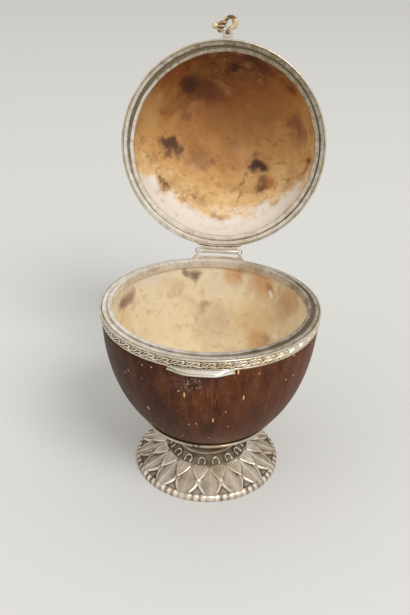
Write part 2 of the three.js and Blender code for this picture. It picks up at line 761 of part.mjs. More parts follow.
// The lid is built shut and turned open about the hinge pin.
const lid = new THREE.Group();
lid.position.set(0, hingeY, hingeZ);
lid.rotation.x = -openAngle * degrees;
const lidFrame = new THREE.Group();
lidFrame.position.set(0, -hingeY, -hingeZ);
lidFrame.add(
  piece('lid_shell', lidShell(), coconut),
  piece('lid_rim_ring', rimRing(lidMount, lidLipDrop, lidRingThickness), silvered),
  piece('lid_lower_wire', hoop(outerWire, lidMount(wireRadius + 0.2), wireThickness), silvered),
  piece('lid_band', plainBand(lidMount), silvered),
  piece('lid_upper_wire', hoop(bandBack + wireRadius, bandFoot(lidMount) - wireRadius, wireThickness), silvered),
  piece('hinge_leaf', hingeLeaf(), silvered),
  piece('hasp_staple', haspStaple(), silvered),
  piece('hasp_pin', haspPin(), silvered),
);
const haspMesh = piece('hasp', hasp(), silvered);
haspMesh.position.set(0, -(mountOuter + haspPinOut), bandMiddle(lidMount));
haspMesh.rotation.x = Math.PI;
lidFrame.add(haspMesh);
lid.add(lidFrame);
box.add(lid);

// The origin lies under the middle of the open box.
const extent = new THREE.Box3().setFromObject(box, true);
box.position.set(-(extent.min.x + extent.max.x) / 2, -(extent.min.y + extent.max.y) / 2, -extent.min.z);

export default box;
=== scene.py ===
import json
import math

import bmesh
import bpy
import numpy as np
from mathutils import Matrix, Vector


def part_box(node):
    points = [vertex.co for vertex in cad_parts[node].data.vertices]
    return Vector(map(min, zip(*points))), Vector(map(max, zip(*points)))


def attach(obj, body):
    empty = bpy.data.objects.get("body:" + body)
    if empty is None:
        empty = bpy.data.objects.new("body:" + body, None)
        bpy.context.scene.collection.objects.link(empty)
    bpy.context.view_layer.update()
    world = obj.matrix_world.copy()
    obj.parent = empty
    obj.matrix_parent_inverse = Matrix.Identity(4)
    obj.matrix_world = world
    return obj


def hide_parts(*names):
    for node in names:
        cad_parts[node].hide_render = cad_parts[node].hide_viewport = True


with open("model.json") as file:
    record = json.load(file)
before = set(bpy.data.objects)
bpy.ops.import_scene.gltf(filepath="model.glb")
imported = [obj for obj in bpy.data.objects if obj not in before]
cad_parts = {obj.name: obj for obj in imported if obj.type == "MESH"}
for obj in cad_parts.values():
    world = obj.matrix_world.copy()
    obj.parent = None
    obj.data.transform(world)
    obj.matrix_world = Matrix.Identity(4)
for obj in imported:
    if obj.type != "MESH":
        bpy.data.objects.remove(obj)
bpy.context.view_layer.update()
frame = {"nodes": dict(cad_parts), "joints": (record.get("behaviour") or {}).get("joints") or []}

# Foot rim
# The ring that stands on the table: brass strip bent round, soldered under the embossed dish and silvered.
# Its underside is flat, and the dish's rolled edge comes down round it, so it hardly shows.
MM = 0.001  # the frame is in metres, this script's sizes are in millimetres


def node_box(name):
    """Lowest and highest corner of a CAD node, in millimetres."""
    low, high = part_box(name)
    return Vector(low) / MM, Vector(high) / MM


rim_low, rim_high = node_box("foot_rim")
axis_y = (rim_low.y + rim_high.y) / 2  # the bowl's upright axis
foot_radius = (rim_high.x - rim_low.x) / 2
edge_roll = 0.7  # thickness of the dish's edge where it rolls down round the ring
foot_rim_outer = foot_radius - edge_roll
foot_rim_inner = foot_radius - 2.4


def rounded(corners, radius, steps=4):
    """A closed outline with its corners rubbed round."""
    corners = [Vector(c) for c in corners]
    outline = []
    for before, here, after in zip(corners[-1:] + corners[:-1], corners, corners[1:] + corners[:1]):
        back, on = before - here, after - here
        start = here + back.normalized() * min(radius, back.length * 0.45)
        end = here + on.normalized() * min(radius, on.length * 0.45)
        for i in range(steps + 1):
            t = i / steps
            outline.append(start.lerp(here, t).lerp(here.lerp(end, t), t))
    return outline


def flat_ring(inner, outer, low, high, soft):
    """Section of a flat ring whose edges are rubbed soft."""
    return rounded([(inner, low), (outer, low), (outer, high), (inner, high)], soft)


def add_object(name, data):
    """Puts a mesh, a lamp or a camera into the scene."""
    made = bpy.data.objects.new(name, data)
    bpy.context.scene.collection.objects.link(made)
    return made


def make_piece(name, points, faces, material, hollow=None, fibre=None):
    """A smooth mesh from points in millimetres. hollow says how dark each point is made, from 0 to 1: grime,
    and on some pieces painted shade; and fibre where it lies across and along a shell's fibre."""
    mesh = bpy.data.meshes.new(name)
    mesh.from_pydata((np.asarray(points) * MM).tolist(), [], [list(map(int, f)) for f in faces])
    mesh.polygons.foreach_set("use_smooth", [True] * len(mesh.polygons))
    depth = np.zeros(len(points)) if hollow is None else np.ravel(hollow)
    mesh.attributes.new("hollow", "FLOAT", "POINT").data.foreach_set("value", depth)
    if fibre is not None:
        along = np.ravel(fibre) * MM
        mesh.attributes.new("fibre", "FLOAT_VECTOR", "POINT").data.foreach_set("vector", along)
    mesh.materials.append(material)
    mesh.update()
    return add_object(name, mesh)


def turned(name, outline, columns, material, shape=None, hollow=None, fibre=None):
    """A piece turned about the bowl's axis from a closed outline of (radius, height). Angles run from the
    front towards +X. shape moves the points, and takes and gives angle, radius and height."""
    outline = np.array([tuple(p) for p in outline], float)
    onward = np.roll(outline, -1, 0)
    if np.sum(outline[:, 0] * onward[:, 1] - onward[:, 0] * outline[:, 1]) < 0:
        outline = outline[::-1]
    angle, radius = np.meshgrid(np.arange(columns) * math.tau / columns, outline[:, 0], indexing="ij")
    height = np.tile(outline[:, 1], (columns, 1))
    shade = hollow(angle, radius, height) if hollow else None
    grain = fibre(angle, radius, height) if fibre else None
    if shape:
        angle, radius, height = shape(angle, radius, height)
    points = np.stack([radius * np.sin(angle), axis_y - radius * np.cos(angle), height], -1)
    here = np.arange(columns * len(outline)).reshape(columns, -1)
    there = np.roll(here, -1, 0)
    faces = np.stack([here, there, np.roll(there, -1, 1), np.roll(here, -1, 1)], -1)
    return make_piece(name, points.reshape(-1, 3), faces.reshape(-1, 4), material, shade, grain)


def fit(piece, body, slot, *nodes):
    """Puts a piece on its body and hides the CAD nodes it stands for. slot, the record's slot for it, is not
    used.
    """
    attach(piece, body)
    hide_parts(*nodes)


def linear(code):
    """Linear RGBA of an sRGB hex colour."""
    shares = [int(code[i:i + 2], 16) / 255 for i in (1, 3, 5)]
    return [s / 12.92 if s <= 0.04045 else ((s + 0.055) / 1.055) ** 2.4 for s in shares] + [1.0]


def add_node(tree, kind, sockets=None, **settings):
    """Adds a node. A socket takes a value, a node (its first output) or a pair of node and output."""
    made = tree.nodes.new("ShaderNode" + kind)
    for setting, value in settings.items():
        setattr(made, setting, value)
    for socket, value in (sockets or {}).items():
        if isinstance(value, bpy.types.Node):
            value = (value, 0)
        if isinstance(value, tuple) and isinstance(value[0], bpy.types.Node):
            tree.links.new(value[0].outputs[value[1]], made.inputs[socket])
        else:
            made.inputs[socket].default_value = value
    return made


def new_material(name):
    """An empty material, its node tree and the place on the object that patterns are laid out by."""
    material = bpy.data.materials.new(name)
    material.use_nodes = True
    material.node_tree.nodes.clear()
    tree = material.node_tree
    return material, tree, (add_node(tree, "TexCoord"), "Object")


def paint(tree, colour, layers):
    """Lays colours over a colour. Each layer has its hex colour, the pattern that it follows, the values of
    the pattern where it begins and where it is full, and the share of it there."""
    for code, pattern, begins, full, most in layers:
        share = add_node(tree, "MapRange", {"Value": pattern, "From Min": begins, "From Max": full,
                                            "To Max": most})
        colour = (add_node(tree, "Mix", {0: share, 6: colour, 7: linear(code)}, data_type="RGBA"), 2)
    return colour


def silvered_brass(name, bright, tarnish, gold, cloud=7, dent=5, dent_depth=0.12, patchy=0.45, shine=0.3,
                   film=0.34):
    """Silver plate on brass, hand-worked and handled for a century: bright and soft where it is rubbed,
    brown in the hollows, with brass showing through in clouds. In mm: how wide the clouds and the dents are,
    and how deep a dent is. patchy is the most tarnish in a cloud, shine the roughness where it is clean, and
    film the share of the light that the dull film on it scatters."""
    material, tree, where = new_material(name)
    clouds = add_node(tree, "TexNoise", {"Vector": where, "Scale": 1 / (cloud * MM), "Detail": 5,
                                         "Roughness": 0.65})
    # Polishing scratches are finer than a pixel. They are drawn half a millimetre wide, so that they show.
    scratches = add_node(tree, "TexNoise", {"Vector": where, "Scale": 1 / (0.5 * MM), "Detail": 3})
    worn = add_node(tree, "TexNoise", {"Vector": where, "Scale": 1 / (2.6 * cloud * MM), "Detail": 3})
    dents = add_node(tree, "TexNoise", {"Vector": where, "Scale": 1 / (dent * MM), "Detail": 2})
    deep = add_node(tree, "Attribute", attribute_name="hollow")
    patch = add_node(tree, "MapRange", {"Value": clouds, "From Min": 0.45, "From Max": 0.72,
                                        "To Max": patchy})
    speck = add_node(tree, "MapRange", {"Value": scratches, "From Min": 0.5, "From Max": 0.75,
                                        "To Max": 0.35})
    grime_and_shade = add_node(tree, "Math", {0: patch, 1: speck}, operation="ADD")
    # Adds the hollow attribute: grime in hollows and, on some pieces, painted shade
    grime_and_shade = add_node(tree, "Math", {0: grime_and_shade, 1: (deep, "Fac")}, operation="ADD", use_clamp=True)
    colour = paint(tree, linear(bright), [(gold, worn, 0.5, 0.68, 0.8), (tarnish, grime_and_shade, 0, 1, 1)])
    rough = add_node(tree, "MapRange", {"Value": grime_and_shade, "To Min": shine, "To Max": shine + 0.3})
    low = add_node(tree, "Bump", {"Height": dents, "Strength": 1, "Distance": dent_depth * MM})
    fine = add_node(tree, "Bump", {"Height": scratches, "Strength": 0.5, "Distance": 0.02 * MM,
                                   "Normal": low})
    shader = add_node(tree, "BsdfPrincipled", {"Base Color": colour, "Metallic": 1 - film,
                                               "Roughness": rough, "Normal": fine})
    add_node(tree, "OutputMaterial", {"Surface": shader})
    return material


# Plain mounts: greyish cream, dull, with brown where a cloth doesn't reach
mount_silver = silvered_brass("silvered_brass_mounts", "#cfc2ad", "#6f604b", "#b39c78")
foot_rim = turned("foot_rim_ring", flat_ring(foot_rim_inner, foot_rim_outer, 0, rim_high.z, 0.3), 256,
                  mount_silver)
fit(foot_rim, "base", "silvered_metal", "foot_rim")

# Foot dish
# A hollow raised foot of thin brass, embossed from behind and chased from the front. Sixteen ribbed leaves
# point outwards over sixteen broad ones, with small loops at the roots and pits between the outer tips.
seat_gap = 0.3  # between pieces that sit on one another
dish_low, dish_high = node_box("foot_dish")
dish_edge = (dish_high.x - dish_low.x) / 2
dish_curl = dish_edge - 0.5  # where the edge starts to curl down
dish_sheet = 0.9
dish_foot = dish_low.z + dish_sheet
shoulder_radius = 15.6
shoulder_height = node_box("foot_cup")[0].z - seat_gap
dish_bore = 12.2
leaf_count = 16
first_leaf = -3.5  # degrees from the front to the middle of an inner leaf
inner_root, inner_wide, inner_tip = 20.6, 22.8, 30
outer_narrows, outer_end = 30.8, 36
bead_count = 64
loop_head = 18.6  # from the axis to the middle of a loop's head
loop_half = 1.65  # half as wide as a loop
loop_line = 0.42  # half as wide as its line


def dish_height(radius):
    """Height of the plain dish: flat on the shoulder, then sagging a little to the edge."""
    along = np.clip((dish_edge - radius) / (dish_edge - shoulder_radius), 0, 1)
    return dish_foot + (shoulder_height - dish_foot) * (0.8 * along + 0.2 * along ** 2)


def ridge(place, centre, width):
    """1 on the centre, and falling off softly on both sides of it."""
    return np.exp(-((place - centre) / width) ** 2)


def soft_step(place, start, end):
    """0 up to the start and 1 from the end on, with a smooth way between. The end may be the lower one."""
    t = np.clip((place - start) / (end - start), 0, 1)
    return t * t * (3 - 2 * t)


def leaf_relief(angle, radius):
    """Height of the chased leaves above the plain dish, in mm."""
    turn = (np.degrees(angle) - first_leaf) * leaf_count / 360
    off_middle = turn - np.round(turn)  # 0 on the middle of an inner leaf, half a leaf more on an outer one
    across = np.abs(off_middle) * 2
    # Inner leaves: domed, with a raised edge, a midrib and a rib between
    taper = np.clip((radius - inner_wide) / (inner_tip - inner_wide), 0, 1)
    width = 0.88 * (1 - taper ** 1.25) * (1 - 0.2 * soft_step(radius, inner_wide, inner_root)) + 1e-6
    share = across / width
    inner = 0.8 + 0.35 * np.sqrt(np.clip(1 - share ** 2, 0, 1)) + 0.3 * taper
    inner += 0.32 * ridge(share, 0.82, 0.12) + 0.3 * ridge(share, 0, 0.13) + 0.22 * ridge(share, 0.42, 0.11)
    inner *= soft_step(share, 1.03, 0.9) * soft_step(radius, inner_root, inner_root + 1.1)
    inner *= radius < inner_tip
    # Outer leaves: flatter and broader, with a pit on each side of the tip
    past = np.clip((radius - outer_narrows) / (outer_end - outer_narrows), 0, 1)
    width = 1 - 0.56 * past ** 1.15
    share = (1 - across) / width
    outer = 0.1 + 0.75 * np.sqrt(np.clip(1 - 0.9 * share ** 2, 0, 1)) + 0.14 * ridge(share, 0, 0.1)
    outer += 0.45 * ridge(share, 0.9, 0.13) * soft_step(radius, 24, 29)
    outer *= soft_step(share, 1.16, 1.0) * soft_step(radius, 19.5, 23)
    outer -= 0.45 * soft_step(share, 1.04, 1.25) * soft_step(radius, outer_narrows, outer_narrows + 1.5)
    # A beaded edge, and a loop round the root of each leaf
    beads = 0.65 + 0.3 * np.cos(bead_count / leaf_count * math.tau * turn)
    edge = beads * soft_step(radius, 35.5, 36.3)
    sideways = off_middle * math.tau / leaf_count * radius
    head = np.abs(np.hypot(sideways, radius - loop_head) - loop_half)
    legs = np.abs(np.abs(sideways) - loop_half)
    loop = 0.75 * ridge(np.where(radius < loop_head, head, legs), 0, loop_line)
    loop *= soft_step(radius, 20.6, 19.6)
    return (np.maximum(np.maximum(inner, outer), edge) + loop) * soft_step(radius, 15.9, 16.7)


def foot_dish_piece():
    """The dish from its bore over the top to the edge, round it and back along the underside."""
    columns = leaf_count * 40
    top = np.linspace(shoulder_radius, dish_curl, 92)
    under = np.linspace(foot_rim_outer, shoulder_radius, 24)
    edge_top = dish_height(dish_curl)
    outline = [(dish_bore, shoulder_height)] + [(r, dish_height(r)) for r in top]
    outline += [(foot_radius - 0.2, edge_top - 0.15), (foot_radius, edge_top - 0.7), (foot_radius, 0.7),
                (foot_radius - 0.15, 0.4), (foot_radius - 0.45, 0.35), (foot_radius - 0.6, 0.5)]
    outline += [(r, dish_height(r) - dish_sheet) for r in under]
    outline += [(dish_bore, shoulder_height - dish_sheet)]

    def embossed(angle, radius, height):
        """The sheet's underside follows the leaves too, but less sharply."""
        relief = leaf_relief(angle, radius)
        plain = (radius < shoulder_radius + 0.01) | (radius > dish_edge - 0.1) | (height < dish_foot - 1)
        upper = height > dish_height(radius) - dish_sheet / 2
        return angle, radius, height + np.where(plain, 0, np.where(upper, relief, 0.6 * relief))

    def dirt_and_shade(angle, radius, height):
        """Grime lies where the relief is lower than all round it. The sides are darker too, and the left
        side has painted shade, away from the lamp.
        """
        relief = leaf_relief(angle, radius)
        level = relief.copy()
        for _ in range(14):
            level = (level + np.roll(level, 1, 0) + np.roll(level, -1, 0) + np.roll(level, 1, 1)
                     + np.roll(level, -1, 1)) / 5
        root = 0.45 * soft_step(radius, 21, 19.8) * soft_step(relief, 0.7, 0.3)
        pit = 0.5 * soft_step(relief, 0.1, -0.25) * soft_step(radius, 30, 32)
        outer = 0.24 * soft_step(relief, 0.95, 0.75) * soft_step(radius, 23, 26)
        # Darker at both sides, and painted shade on the left side
        sides = 0.26 * np.sin(angle) ** 2 + 0.08 * np.clip(np.cos(angle + 1.4), 0, 1)
        return np.clip(-2.1 * (relief - level) + root + pit + outer + sides, 0, 0.95)

    return turned("foot_dish_chased", outline, columns, foot_silver, embossed, dirt_and_shade)


# Chased sheet, rubbed to a warm cream on its crests
foot_silver = silvered_brass("silvered_brass_chased_foot", "#fdeedb", "#5a4c3b", "#cdb792", cloud=5,
                             dent=2.4, dent_depth=0.1, patchy=0.35, shine=0.32)
foot_dish = foot_dish_piece()
fit(foot_dish, "base", "silvered_metal", "foot_dish")

# Cup and neck
# A spun cup of brass holds the shell's end. Its waisted neck stands on the foot's shoulder in a small
# moulding, and above that it is painted brown: painted shade under the bowl.
shell_radius = 53.4
shell_fullness = 2.1  # 2 is an ellipse, more is squarer
shell_end = node_box("bowl_shell")[0].z
shell_depth = 71
belly_height = shell_end + shell_depth
cup_top = node_box("foot_cup")[1].z
cup_sheet = 1
neck_radius = 13.2
neck_inner = neck_radius - cup_sheet
neck_top = neck_radius + 1.4  # radius where the neck runs into the cup
neck_floor = shell_end - 1.6
neck_foot = shoulder_height + seat_gap
screw_bore = 2.25


def shell_arc(radius, depth, from_radius, to_depth, steps=40):
    """Points of a shell's half section, from a radius near its end up to a depth below the belly."""
    start = math.acos(min(1, (from_radius / radius) ** (shell_fullness / 2)))
    stop = math.asin(min(1, (to_depth / depth) ** (shell_fullness / 2)))
    power = 2 / shell_fullness
    return [(radius * math.cos(t) ** power, depth * math.sin(t) ** power)
            for t in np.linspace(start, stop, steps)]


def smooth_curve(corners, steps=6):
    """A curve through the given points."""
    ends = [Vector(corners[0]) * 2 - Vector(corners[1]), *map(Vector, corners),
            Vector(corners[-1]) * 2 - Vector(corners[-2])]
    curve = []
    for a, b, c, d in zip(ends, ends[1:], ends[2:], ends[3:]):
        for i in range(steps):
            t = i / steps
            curve.append(0.5 * (2 * b + (c - a) * t + (2 * a - 5 * b + 4 * c - d) * t ** 2
                                + (3 * b - a - 3 * c + d) * t ** 3))
    return [tuple(p) for p in curve] + [tuple(corners[-1])]


def cup_wall(away, from_radius):
    """The cup's section at a distance away from the shell."""
    arc = shell_arc(shell_radius + away, shell_depth + away, from_radius, belly_height - cup_top)
    return [(r, belly_height - d) for r, d in arc]


def cup_shade(angle, radius, height):
    """Painted shade under the bowl: brown everywhere above the moulding at the neck's foot."""
    return np.where(height > neck_foot + 2, 0.5, 0.0)


neck_curve = smooth_curve([(neck_top, neck_floor + 0.6), (neck_radius + 0.3, neck_floor - 0.4),
                           (neck_radius, (neck_floor + neck_foot) / 2 + 0.5),
                           (neck_radius + 0.3, neck_foot + 2.2), (neck_radius + 1.1, neck_foot + 1.95),
                           (shoulder_radius - 0.2, neck_foot + 1.4),
                           (shoulder_radius + 0.2, neck_foot + 0.7), (shoulder_radius, neck_foot)])
cup_outline = cup_wall(seat_gap, screw_bore) + cup_wall(seat_gap + cup_sheet, neck_top)[::-1] + neck_curve
cup_outline += [(neck_inner, neck_foot), (neck_inner, neck_floor), (screw_bore, neck_floor)]
# Spun sheet, seldom polished: brown grey
cup_silver = silvered_brass("silvered_brass_cup", "#bfb19a", "#5b4b3c", "#9c8666", cloud=6, patchy=0.45)
cup = turned("foot_cup_spun", cup_outline, 192, cup_silver, hollow=cup_shade)
fit(cup, "base", "silvered_metal", "foot_cup")

# Cup wire
# A round wire soldered along the cup's edge hides the joint with the shell. It catches the light all round,
# with two small nicks at the front.
wire_low, wire_high = node_box("cup_wire")
cup_wire_thickness = 1.5
cup_wire_height = (wire_low.z + wire_high.z) / 2
cup_wire_radius = wire_high.x - cup_wire_thickness / 2
nicks = [-7.5, -3]  # degrees from the front
nick_width = 0.9


def hoop(name, radius, height, thickness, material, columns=384, nicked=(), wander=0.0, dull=0.0, under=1):
    """A wire bent to a hoop, with painted shade on its lower side (under 1) or its upper (-1). wander is how
    far it strays inwards and down from true, in mm, and dull how much grime it has all round."""
    section = [(radius + thickness / 2 * math.cos(t), height + thickness / 2 * math.sin(t))
               for t in np.arange(16) * math.tau / 16]

    def nick_at(angle):
        return sum((ridge(np.degrees(angle), place % 360, nick_width) for place in nicked),
                   np.zeros_like(angle))

    def bent(angle, r, z):
        inward = np.clip(1 - 0.35 * nick_at(angle), 0, 1)
        sway = np.sin(3 * angle + 1) + 0.6 * np.sin(7 * angle) + 0.4 * np.sin(13 * angle + 2)
        stray = wander * (sway / 4 - 0.5)
        return angle, radius + (r - radius) * inward + stray, height + (z - height) * inward + stray / 2

    def dirt_and_shade(angle, r, z):
        # Painted shade on the wire's lower side, or on its upper one when under is -1
        shaded = 0.6 * soft_step(under * (height - z), 0, thickness / 2)
        return np.clip(dull + shaded + nick_at(angle), 0, 1)

    return turned(name, section, columns, material, bent, dirt_and_shade)


cup_wire = hoop("cup_wire_round", cup_wire_radius, cup_wire_height, cup_wire_thickness, mount_silver, 512,
                nicks, 0.1)
fit(cup_wire, "base", "silvered_metal", "cup_wire")

# Bowl shell
# The lower part of a coconut's hard shell, cut across, scraped and polished with oil. Outside it is dark red
# brown with fibres from end to end and pale marks where a fibre was cut; inside it is pale and stained.
shell_wall = 3.8
shell_mouth = 49.5
shell_columns = 256
rebate_radius = 52.4
rebate_foot = 88.2
shell_top = node_box("bowl_shell")[1].z
gathered = 30  # nearer the axis than this, the fibres run together towards the shell's end


def coconut_outside(name):
    """Coconut shell, sanded and oiled: dark brown, streaked along the fibre, with pale cut fibres and, under
    the catch plate, scuffs and a few orange streaks."""
    material, tree, where = new_material(name)
    fibre = (add_node(tree, "Attribute", attribute_name="fibre"), "Vector")
    # Streaks are twelve times as long as they are wide, and the blotches between them three times
    along = add_node(tree, "VectorMath", {0: fibre, 1: (1, 1, 0.08)}, operation="MULTIPLY")
    squashed = add_node(tree, "VectorMath", {0: fibre, 1: (1, 1, 0.35)}, operation="MULTIPLY")
    broad = add_node(tree, "TexNoise", {"Vector": where, "Scale": 1 / (24 * MM), "Detail": 4,
                                        "Roughness": 0.6})
    blotch = add_node(tree, "TexNoise", {"Vector": squashed, "Scale": 1 / (5 * MM), "Detail": 3,
                                         "Roughness": 0.6})
    streak = add_node(tree, "TexNoise", {"Vector": along, "Scale": 1 / (2.4 * MM), "Detail": 4,
                                         "Roughness": 0.65})
    # Single fibres are a tenth of a millimetre wide. They are drawn at half a millimetre, so that they show.
    hair = add_node(tree, "TexNoise", {"Vector": along, "Scale": 1 / (0.5 * MM), "Detail": 2})
    grain = add_node(tree, "TexNoise", {"Vector": where, "Scale": 1 / (0.9 * MM), "Detail": 3})
    # Across the nut: lighter and redder towards the right, painted light from the lamp's side, and darker
    # towards the left, painted shade
    sideways = (add_node(tree, "SeparateXYZ", {0: where}), "X")
    colour = paint(tree, linear("#381b0d"), [
        ("#552a15", broad, 0.38, 0.64, 1), ("#6a3c22", sideways, -30 * MM, 50 * MM, 0.6),
        ("#7a4220", streak, 0.55, 0.76, 0.4), ("#1d0d07", streak, 0.46, 0.3, 0.5),
        ("#6e452b", blotch, 0.52, 0.7, 0.5), ("#26150d", blotch, 0.48, 0.32, 0.5),
        ("#744a30", hair, 0.52, 0.8, 0.3), ("#22110a", grain, 0.47, 0.3, 0.4),
        ("#80563a", grain, 0.58, 0.8, 0.25), ("#1a0e08", sideways, -5 * MM, -52 * MM, 0.5)])
    # Worn places: where, how far round, how strong, of what colour, and the pattern that each follows
    for place, radius, most, code, pattern, begins, full in (
            ((2.5, -78.6, 71), 9, 0.42, "#a85a2a", hair, 0.5, 0.64),
            ((-8, -79, 83), 12, 0.24, "#8d7a7a", grain, 0.48, 0.68),
            ((-3, -79.4, 80), 5, 0.9, "#d3c2b6", grain, 0.58, 0.68),
            ((4, -79.4, 83), 9, 0.22, "#80666a", streak, 0.45, 0.7),
            ((-9, -79, 80), 6, 0.2, "#9c8b88", hair, 0.52, 0.68)):
        away = add_node(tree, "VectorMath", {0: where, 1: tuple(c * MM for c in place)},
                        operation="DISTANCE")
        near = add_node(tree, "MapRange", {"Value": (away, "Value"), "From Min": radius * MM,
                                           "From Max": 0.4 * radius * MM}, interpolation_type="SMOOTHSTEP")
        marked = add_node(tree, "MapRange", {"Value": pattern, "From Min": begins, "From Max": full})
        share = add_node(tree, "Math", {0: near, 1: marked}, operation="MULTIPLY")
        colour = paint(tree, colour, [(code, share, 0, 1, most)])
    # Cut fibres: in some of the cells that are this wide, a pale mark of about these half sizes across and
    # along. There are none near the shell's end. bare is the share of cells without a mark elsewhere.
    flat = (add_node(tree, "Attribute", attribute_name="unrolled"), "Vector")
    from_axis = (add_node(tree, "SeparateXYZ", {0: flat}), "Z")
    for cell, half_wide, half_long, bare, pale in (
            (15, 0.36, 1.5, 0.55, "#e2b686"), (11, 0.4, 0.48, 0.6, "#cfa67c"),
            (4.5, 0.18, 0.3, 0.6, "#a5714a")):
        cells = add_node(tree, "TexVoronoi", {"Vector": flat, "Scale": 1 / (cell * MM)},
                         voronoi_dimensions="2D")
        offset = add_node(tree, "VectorMath", {0: flat, 1: (cells, "Position")}, operation="SUBTRACT")
        half_sizes = (1 / (half_wide * MM), 1 / (half_long * MM), 0)
        offset = add_node(tree, "VectorMath", {0: offset, 1: half_sizes}, operation="MULTIPLY")
        away = add_node(tree, "VectorMath", {0: offset}, operation="LENGTH")
        chance = add_node(tree, "SeparateXYZ", {0: (cells, "Color")})
        size = add_node(tree, "MapRange", {"Value": (chance, "Y"), "To Min": 0.5, "To Max": 1.15})
        away = add_node(tree, "Math", {0: (away, "Value"), 1: size}, operation="DIVIDE")
        mark = add_node(tree, "MapRange", {"Value": away, "From Min": 1.15, "From Max": 0.7})
        least = add_node(tree, "MapRange", {"Value": from_axis, "From Min": 18 * MM, "From Max": 44 * MM,
                                            "To Min": 1, "To Max": bare})
        chosen = add_node(tree, "Math", {0: (cells, "Color"), 1: least}, operation="GREATER_THAN")
        mark = add_node(tree, "Math", {0: mark, 1: chosen}, operation="MULTIPLY")
        colour = paint(tree, colour, [(pale, mark, 0, 1, 1)])
    rough = add_node(tree, "MapRange", {"Value": grain, "From Min": 0.3, "From Max": 0.7, "To Min": 0.38,
                                        "To Max": 0.55})
    pores = add_node(tree, "Bump", {"Height": hair, "Strength": 0.4, "Distance": 0.05 * MM})
    waves = add_node(tree, "Bump", {"Height": broad, "Strength": 1, "Distance": 0.4 * MM, "Normal": pores})
    shader = add_node(tree, "BsdfPrincipled", {"Base Color": colour, "Roughness": rough, "IOR": 1.36,
                                               "Specular IOR Level": 0.2, "Normal": waves})
    add_node(tree, "OutputMaterial", {"Surface": shader})
    return material


def coconut_inside(name, bands, stains, mottled, pale="#e3c89c", blur=8, pale_and_lit_below=None, sag=0):
    """The inside of a coconut shell, scraped by hand and left bare: matt, cream to honey brown, with ragged
    stains. bands is the colour below the first height and from each height on up. Each stain has its place
    and radius, how strong it is, and its colour. mottled is the share of the clouds between, pale the light
    ones' colour, and blur how ragged the edges are. Below the height pale_and_lit_below it is whitened,
    partly its own pale colour and partly painted light, and the lines of that and of the bands sag by x
    squared over sag. Heights and places are in mm."""
    material, tree, where = new_material(name)
    warp = add_node(tree, "TexNoise", {"Vector": where, "Scale": 1 / (9 * MM), "Detail": 3,
                                       "Roughness": 0.55})
    shift = add_node(tree, "VectorMath", {0: (warp, "Color"), 1: (0.5, 0.5, 0.5)}, operation="SUBTRACT")
    shift = add_node(tree, "VectorMath", {0: shift, 1: (2.4 * blur * MM,) * 3}, operation="MULTIPLY")
    spread = add_node(tree, "VectorMath", {0: where, 1: shift}, operation="ADD")
    parts = add_node(tree, "SeparateXYZ", {0: spread})
    height = (parts, "Z")
    if sag:
        bow = add_node(tree, "Math", {0: (parts, "X"), 1: (parts, "X")}, operation="MULTIPLY")
        height = add_node(tree, "Math", {0: bow, 1: -1 / (sag * MM), 2: height}, operation="MULTIPLY_ADD")
    colour = paint(tree, linear(bands[0][1]), [(code, height, low * MM, high * MM, 1)
                                               for (low, _), (high, code) in zip(bands, bands[1:])])
    cloud = add_node(tree, "TexNoise", {"Vector": where, "Scale": 1 / (13 * MM), "Detail": 5,
                                        "Roughness": 0.6})
    veins = add_node(tree, "TexNoise", {"Vector": spread, "Scale": 1 / (5 * MM), "Detail": 3})
    colour = paint(tree, colour, [("#9c6a34", cloud, 0.48, 0.72, mottled),
                                  (pale, cloud, 0.45, 0.28, mottled),
                                  ("#8f5f3a", veins, 0.55, 0.72, mottled)])
    # Whitened low down: partly the shell's own pale inside, partly painted light where the lamp falls into
    # the open lid
    if pale_and_lit_below:
        share = add_node(tree, "MapRange", {"Value": height, "From Min": (pale_and_lit_below + 4) * MM,
                                            "From Max": (pale_and_lit_below - 3) * MM}, interpolation_type="SMOOTHSTEP")
        colour = paint(tree, colour, [("#efe8e0", share, 0, 1, 0.95)])
    for x, y, z, radius, most, code in stains:
        away = add_node(tree, "VectorMath", {0: spread, 1: (x * MM, y * MM, z * MM)}, operation="DISTANCE")
        share = add_node(tree, "MapRange", {"Value": (away, "Value"), "From Min": 1.15 * radius * MM,
                                            "From Max": 0.25 * radius * MM}, interpolation_type="SMOOTHSTEP")
        colour = paint(tree, colour, [(code, share, 0, 1, most)])
    grain = add_node(tree, "TexNoise", {"Vector": where, "Scale": 1 / (1.1 * MM), "Detail": 4})
    colour = paint(tree, colour, [("#8f6a45", grain, 0.55, 0.8, 0.2)])
    scraped = add_node(tree, "Bump", {"Height": cloud, "Strength": 1, "Distance": 0.5 * MM})
    scraped = add_node(tree, "Bump", {"Height": grain, "Strength": 0.6, "Distance": 0.06 * MM,
                                      "Normal": scraped})
    shader = add_node(tree, "BsdfPrincipled", {"Base Color": colour, "Roughness": 0.62, "IOR": 1.4,
                                               "Normal": scraped})
    add_node(tree, "OutputMaterial", {"Surface": shader})
    return material


def vectors(items, what):
    """One vector for each of a mesh's vertices, faces or values."""
    flat = np.empty(len(items) * 3)
    items.foreach_get(what, flat)
    return flat.reshape(-1, 3)


def line_inside(piece, material, depth, middle, way):
    """Gives the faces inside the middle of the shell's wall a second material. middle is the belly's height,
    depth the shell's outside below or above it, and way the side of it that the shell's end lies on."""
    piece.data.materials.append(material)
    x, y, z = vectors(piece.data.polygons, "center").T / MM
    deep = np.clip((z - middle) * way, 0, None) / (depth - shell_wall / 2)
    out = np.hypot(x, y - axis_y) / (shell_radius - shell_wall / 2)
    inside = out ** shell_fullness + deep ** shell_fullness < 1
    piece.data.polygons.foreach_set("material_index", inside.astype(int))


